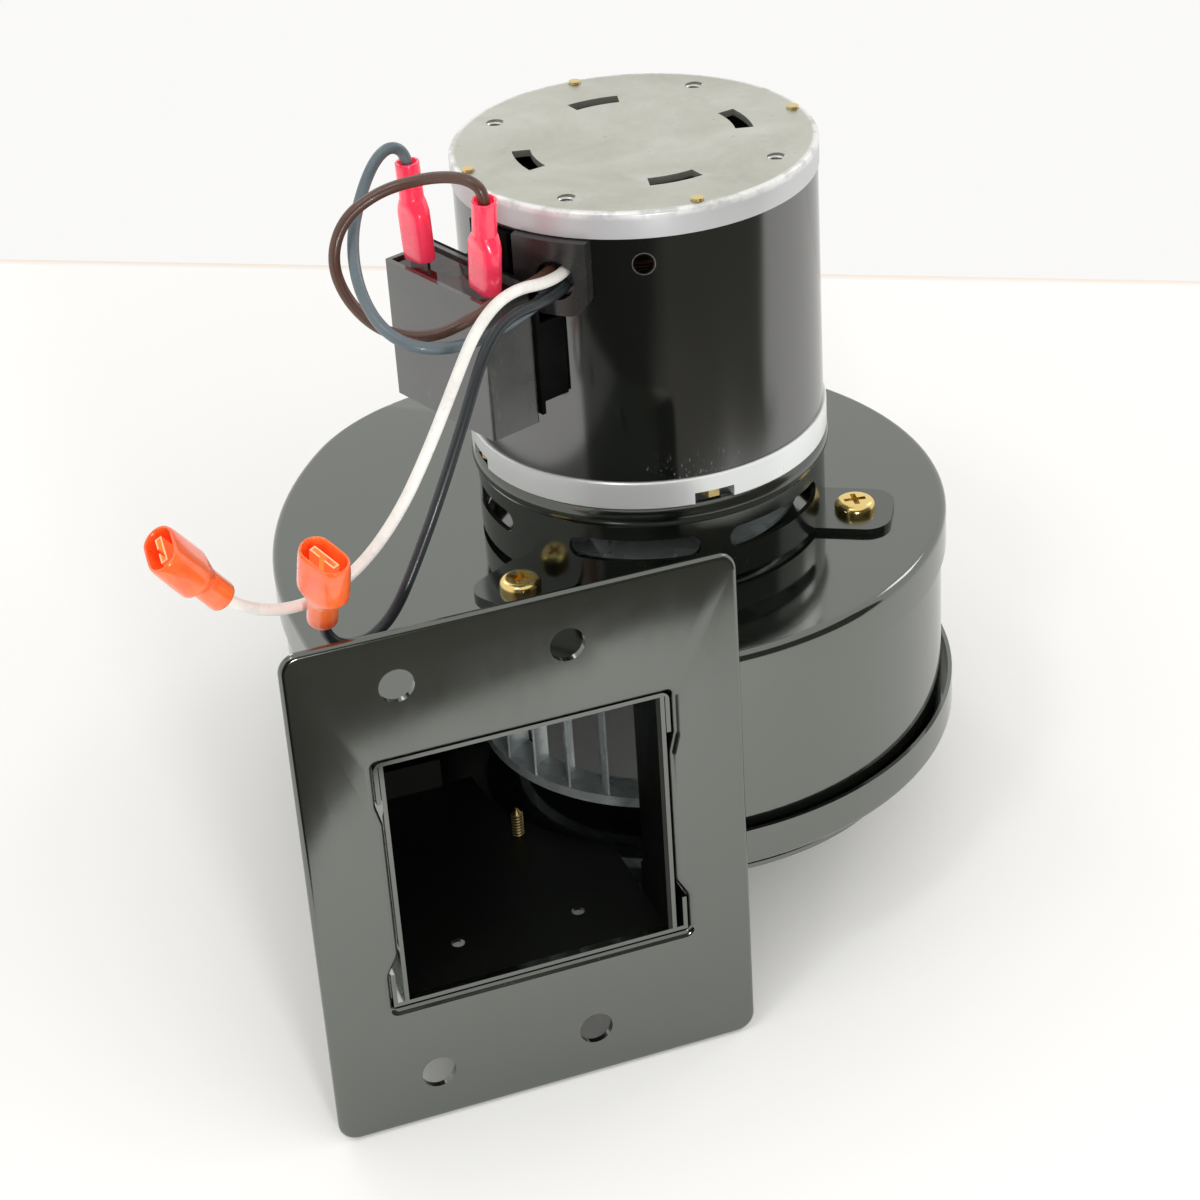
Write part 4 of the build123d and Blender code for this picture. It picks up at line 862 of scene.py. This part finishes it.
class BLOWER_OT_finish_parts(bpy.types.Operator):
    """Give every sheet metal, cast and moulded part its finish"""

    bl_idname = "blower.finish_parts"
    bl_label = "Finish Parts"

    def execute(self, context):
        looks = context.scene.blower_finish
        housing = paint("gloss_black_paint", tuple(looks.paint), 0.085, 2.4)
        dress(housing, "top_plate", "floor_plate", "scroll_wall", "inlet_ring")
        dress(paint("flange_paint", tuple(looks.paint), 0.13, 2.35), "outlet_flange")
        dress(paint("mount_paint", tuple(looks.paint), 0.16, 2.05), "motor_mount_ring")
        # Painted shade: the glossy bracket gets near-black plastic that hardly reflects
        shade = moulding("bracket_black", (0.002, 0.002, 0.002), 0.5, 1600.0, ior=1.12)
        dress(shade, "capacitor_bracket")
        # Painted shade: the cutoff inside the duct gets darker, duller paint that hardly reflects
        dress(paint("duct_paint", (0.004, 0.004, 0.004), 0.35, 1.4), "cutoff")
        dress(shell_paint("motor_shell_paint", tuple(looks.paint)), "motor_shell")
        dress(cast_alloy("cast_alloy", tuple(looks.cast)), "top_end_cap", "lower_end_bracket")
        screws = plated("yellow_zinc", tuple(looks.yellow_zinc), 0.20, (0.80, 0.66, 0.30))
        dress(screws, "mount_screws", "inlet_ring_screws", "capacitor_screw")
        bolts = plated("brass_bolt", (0.78, 0.60, 0.26), 0.26, (0.70, 0.56, 0.30))
        dress(bolts, "through_bolts")
        wheel = sheet_zinc("galvanised_sheet", tuple(looks.zinc_sheet))
        dress(wheel, "wheel_blades", "wheel_inlet_ring", "wheel_back_plate", "cooling_fan")
        ground = steel("ground_steel", (0.55, 0.55, 0.54), 0.22)
        dress(ground, "motor_shaft", "thrust_collars", "wheel_hub", "wheel_set_screw")
        stack = layered("lamination_stack", (0.20, 0.20, 0.21), (0.03, 0.03, 0.035), 0.0005)
        dress(stack, "stator_core", "rotor_core")
        copper = layered("wound_copper", (0.16, 0.075, 0.04), (0.03, 0.012, 0.008), 0.0007)
        dress(copper, "stator_windings")
        dress(steel("sintered_bronze", (0.48, 0.34, 0.17), 0.40), "lower_bearing", "upper_bearing")
        plastic = tuple(looks.moulding)
        lighter = tuple(part * 1.25 for part in plastic)
        dress(moulding("capacitor_plastic", lighter, 0.17, 2200.0, 0.25, 1.95), "capacitor_case")
        darker = tuple(part * 0.55 for part in plastic)
        dress(moulding("boot_plastic", darker, 0.26, 1600.0), "lead_boot", "lead_grommet")
        dress(potting("glossy_potting"), "capacitor_epoxy")
        tinned = plated("tinned_brass", (0.72, 0.71, 0.68), 0.24, (0.62, 0.60, 0.55))
        dress(tinned, "capacitor_terminals", "terminal_receptacles")
        # Painted light: the receptacles inside the orange sleeves are tinted orange and emit light,
        # standing for light through the sleeves
        glowing_receptacle = plated("tinned_in_sleeve", (1.0, 0.62, 0.42), 0.22, (1.0, 0.48, 0.28))
        shader = glowing_receptacle.node_tree.nodes["Principled BSDF"]
        shader.inputs["Emission Color"].default_value = (1.0, 0.24, 0.07, 1.0)
        shader.inputs["Emission Strength"].default_value = 0.5
        dress(glowing_receptacle, "lead_receptacles")
        return {"FINISHED"}


class BLOWER_OT_make_sleeves(bpy.types.Operator):
    """Build the four translucent push-on sleeves"""

    bl_idname = "blower.make_sleeves"
    bl_label = "Make Sleeves"

    def execute(self, context):
        looks = context.scene.blower_sleeves
        # Last number: strength of each nylon's painted emission
        red = nylon("red_nylon", tuple(looks.red), (1.0, 0.025, 0.08), 0.20)
        orange = nylon("orange_nylon", tuple(looks.orange), (1.0, 0.10, 0.012), 0.04)
        red_sections = sleeve_sections(
            looks.red_size, looks.red_barrel, looks.red_wall, looks.neck, looks.pocket)
        orange_sections = sleeve_sections(
            looks.orange_size, looks.orange_barrel, looks.orange_wall, looks.neck, looks.pocket)
        length = looks.orange_size[2] + looks.neck + looks.orange_barrel[1]
        for name, place in TAB_FRAMES.items():
            node = name.replace("_sleeve", "_connector")
            make_sleeve(name, node, red_sections, tab_place(*place), red)
        for name, (route, across) in LOOSE_SLEEVES.items():
            make_sleeve(name + "_sleeve", name + "_connector", orange_sections,
                        loose_place(route, across, length), orange)
        return {"FINISHED"}


class BLOWER_OT_make_leads(bpy.types.Operator):
    """Lay the four insulated leads along their routes"""

    bl_idname = "blower.make_leads"
    bl_label = "Make Leads"

    def execute(self, context):
        looks = context.scene.blower_leads
        for name, node, route, radius_name, length, ends in LEADS:
            colour_name = node.split("_")[0]
            radius = getattr(looks, radius_name)
            curve = bpy.data.curves.new(name, "CURVE")
            curve.dimensions = "3D"
            curve.bevel_depth = radius
            curve.bevel_resolution = 6
            curve.resolution_u = 14
            curve.use_fill_caps = True
            spline = curve.splines.new("NURBS")
            spline.points.add(len(route) - 1)
            for point, place in zip(spline.points, route):
                point.co = (*place, 1.0)
            spline.order_u = 3
            spline.use_endpoint_u = True
            wire = bpy.data.objects.new(name, curve)
            context.scene.collection.objects.link(wire)
            mark = 0.35 if colour_name == "white" else 0.0
            colour = tuple(getattr(looks, colour_name))
            curve.materials.append(insulation(colour_name + "_insulation", colour, mark))
            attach(wire, STATIC_BODY)
            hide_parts(node)
        return {"FINISHED"}


class BLOWER_OT_make_threads(bpy.types.Operator):
    """Add the threads of the inlet ring's screws and of the cap's tapped holes"""

    bl_idname = "blower.make_threads"
    bl_label = "Make Threads"

    def execute(self, context):
        looks = context.scene.blower_threads
        screw_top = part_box("inlet_ring_screws")[1].z / MM
        start = screw_top - looks.tip - looks.pitch * looks.turns
        ridge = (looks.core_radius - 0.1, looks.core_radius + looks.height)
        screw = thread_mesh("one_screw_thread", ridge, start, looks.pitch, looks.turns)
        repeat_thread("inlet_screw_threads", screw, looks.ring_radius, SCREW_ANGLES, "yellow_zinc")
        cap_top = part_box("top_end_cap")[1].z / MM
        start = cap_top - looks.hole_start - looks.pitch * looks.hole_turns
        ridge = (looks.hole_radius + 0.02, looks.hole_radius - looks.height * 1.6)
        hole = thread_mesh("one_hole_thread", ridge, start, looks.pitch, looks.hole_turns)
        repeat_thread("cap_hole_threads", hole, looks.hole_ring, CAP_HOLE_ANGLES, "cast_alloy")
        return {"FINISHED"}


class BLOWER_OT_make_stage(bpy.types.Operator):
    """Set the floor, the pale room, the soft lamps and the camera"""

    bl_idname = "blower.make_stage"
    bl_label = "Make Stage"

    def execute(self, context):
        looks = context.scene.blower_studio
        self.add_floor(looks)
        self.add_room(context, looks)
        self.add_cloths()
        self.add_lamps(context)
        self.add_camera(context, looks)
        return {"FINISHED"}

    def add_floor(self, looks):
        """Lay the floor under the flange's edge and the inlet ring, as far as the table's rear edge."""
        corners = [FLOOR_REAR + FLOOR_ALONG * side for side in (-FLOOR_REACH, FLOOR_REACH)]
        corners += [corner - FLOOR_AHEAD * FLOOR_REACH for corner in reversed(corners)]
        bm = bmesh.new()
        verts = [bm.verts.new((corner.x, corner.y, floor_height(corner.y))) for corner in corners]
        bmesh.ops.contextual_create(bm, geom=verts)
        bmesh.ops.recalc_face_normals(bm, faces=bm.faces)
        if bm.faces[:][0].normal.z < 0:
            bmesh.ops.reverse_faces(bm, faces=bm.faces)
        mesh = bpy.data.meshes.new("floor")
        bm.to_mesh(mesh)
        bm.free()
        floor = bpy.data.objects.new("floor", mesh)
        bpy.context.scene.collection.objects.link(floor)
        mesh.materials.append(floor_finish("pale_floor", tuple(looks.floor_colour)))

    def add_room(self, context, looks):
        """Surround the blower with a pale room that metal reflects too."""
        world = bpy.data.worlds.new("pale_room")
        context.scene.world = world
        world.use_nodes = True
        tree = world.node_tree
        tree.nodes.clear()
        warm_white = (1.0, 0.99, 0.965, 1.0)
        room = put(tree, "ShaderNodeBackground", Color=warm_white, Strength=looks.dome_strength)
        seen = put(tree, "ShaderNodeBackground", Color=(*looks.backdrop_colour, 1.0), Strength=1.0)
        path = put(tree, "ShaderNodeLightPath")
        direct = calc(tree, "ADD", path.outputs["Is Camera Ray"], path.outputs["Is Glossy Ray"])
        direct = calc(tree, "MINIMUM", calc(tree, "ADD", direct, path.outputs["Is Transmission Ray"]), 1.0)
        choice = put(tree, "ShaderNodeMixShader")
        tree.links.new(direct, choice.inputs[0])
        tree.links.new(room.outputs[0], choice.inputs[1])
        tree.links.new(seen.outputs[0], choice.inputs[2])
        output = put(tree, "ShaderNodeOutputWorld")
        tree.links.new(choice.outputs[0], output.inputs["Surface"])

    def add_cloths(self):
        """Lay a dark cloth on the floor and stand one up, which only the gloss surfaces reflect."""
        cloth = cloth_finish("dark_cloth")
        bm = bmesh.new()
        verts = [bm.verts.new((x, y, floor_height(y) + CLOTH_LIFT)) for x, y in CLOTH_CORNERS]
        bmesh.ops.contextual_create(bm, geom=verts)
        self.hang_cloth("front_cloth", bm, cloth)
        bm = bmesh.new()
        start = Vector((CLOTH_RADIUS * math.cos(CLOTH_START), CLOTH_RADIUS * math.sin(CLOTH_START), 0.0))
        low, high = (bm.verts.new((start.x, start.y, height)) for height in CLOTH_HEIGHTS)
        edge = bm.edges.new((low, high))
        bmesh.ops.spin(bm, geom=[low, high, edge], cent=(0, 0, 0), axis=(0, 0, 1),
                       angle=CLOTH_TURN, steps=CLOTH_STEPS, use_duplicate=False)
        self.hang_cloth("standing_cloth", bm, cloth)

    def hang_cloth(self, name, bm, cloth):
        """Put a cloth on the stage, out of the camera's sight and casting no shadow."""
        mesh = bpy.data.meshes.new(name)
        bm.to_mesh(mesh)
        bm.free()
        mesh.materials.append(cloth)
        piece = bpy.data.objects.new(name, mesh)
        bpy.context.scene.collection.objects.link(piece)
        piece.visible_camera = False
        piece.visible_shadow = False
        piece.visible_diffuse = False

    def add_lamps(self, context):
        """Hang soft lamps round the blower, one of them low in front of the outlet."""
        for name, place, size, power in LAMPS:
            light = bpy.data.lights.new(name, "AREA")
            light.shape = "SQUARE"
            light.size = size
            light.energy = power
            lamp = bpy.data.objects.new(name, light)
            lamp.location = place
            lamp.rotation_mode = "QUATERNION"
            lamp.rotation_quaternion = (LAMP_AIM - Vector(place)).to_track_quat("-Z", "Y")
            context.scene.collection.objects.link(lamp)

    def add_camera(self, context, looks):
        """Stand the camera where the photograph was taken."""
        place = Vector(looks.camera_place)
        forward = (Vector(looks.camera_aim) - place).normalized()
        right = forward.cross(Vector((0, 0, 1))).normalized()
        down = forward.cross(right)
        cosine, sine = math.cos(looks.camera_roll), math.sin(looks.camera_roll)
        rolled_right = right * cosine + down * sine
        rolled_down = down * cosine - right * sine
        data = bpy.data.cameras.new("camera")
        data.lens = looks.lens
        data.sensor_width = 36.0
        data.clip_start = 0.01
        camera = bpy.data.objects.new("camera", data)
        turned = Matrix((rolled_right, -rolled_down, -forward)).transposed().to_4x4()
        camera.matrix_world = Matrix.Translation(place) @ turned
        context.scene.collection.objects.link(camera)
        context.scene.camera = camera
        context.scene.view_settings.view_transform = "Standard"


class BLOWER_PT_panel(bpy.types.Panel):
    """Lists the steps that dress the blower"""

    bl_idname = "BLOWER_PT_panel"
    bl_label = "Convection Blower"
    bl_space_type = "VIEW_3D"
    bl_region_type = "UI"
    bl_category = "Blower"

    def draw(self, context):
        for step in STEPS:
            self.layout.operator(step.bl_idname)


STEPS = (
    BLOWER_OT_make_stage,
    BLOWER_OT_finish_parts,
    BLOWER_OT_make_sleeves,
    BLOWER_OT_make_leads,
    BLOWER_OT_make_threads,
)
SETTINGS = {
    "blower_studio": StudioSettings,
    "blower_leads": LeadSettings,
    "blower_sleeves": SleeveSettings,
    "blower_threads": ThreadSettings,
    "blower_finish": FinishSettings,
}


def register():
    """Register the settings, the operators and the panel."""
    for group in SETTINGS.values():
        bpy.utils.register_class(group)
    for step in STEPS:
        bpy.utils.register_class(step)
    bpy.utils.register_class(BLOWER_PT_panel)
    for name, group in SETTINGS.items():
        setattr(bpy.types.Scene, name, PointerProperty(type=group))


def unregister():
    """Remove what register added."""
    for name in SETTINGS:
        delattr(bpy.types.Scene, name)
    bpy.utils.unregister_class(BLOWER_PT_panel)
    for step in reversed(STEPS):
        bpy.utils.unregister_class(step)
    for group in SETTINGS.values():
        bpy.utils.unregister_class(group)


def main():
    """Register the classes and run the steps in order."""
    register()
    for step in STEPS:
        group, name = step.bl_idname.split(".")
        getattr(getattr(bpy.ops, group), name)()


if __name__ == "__main__":
    main()
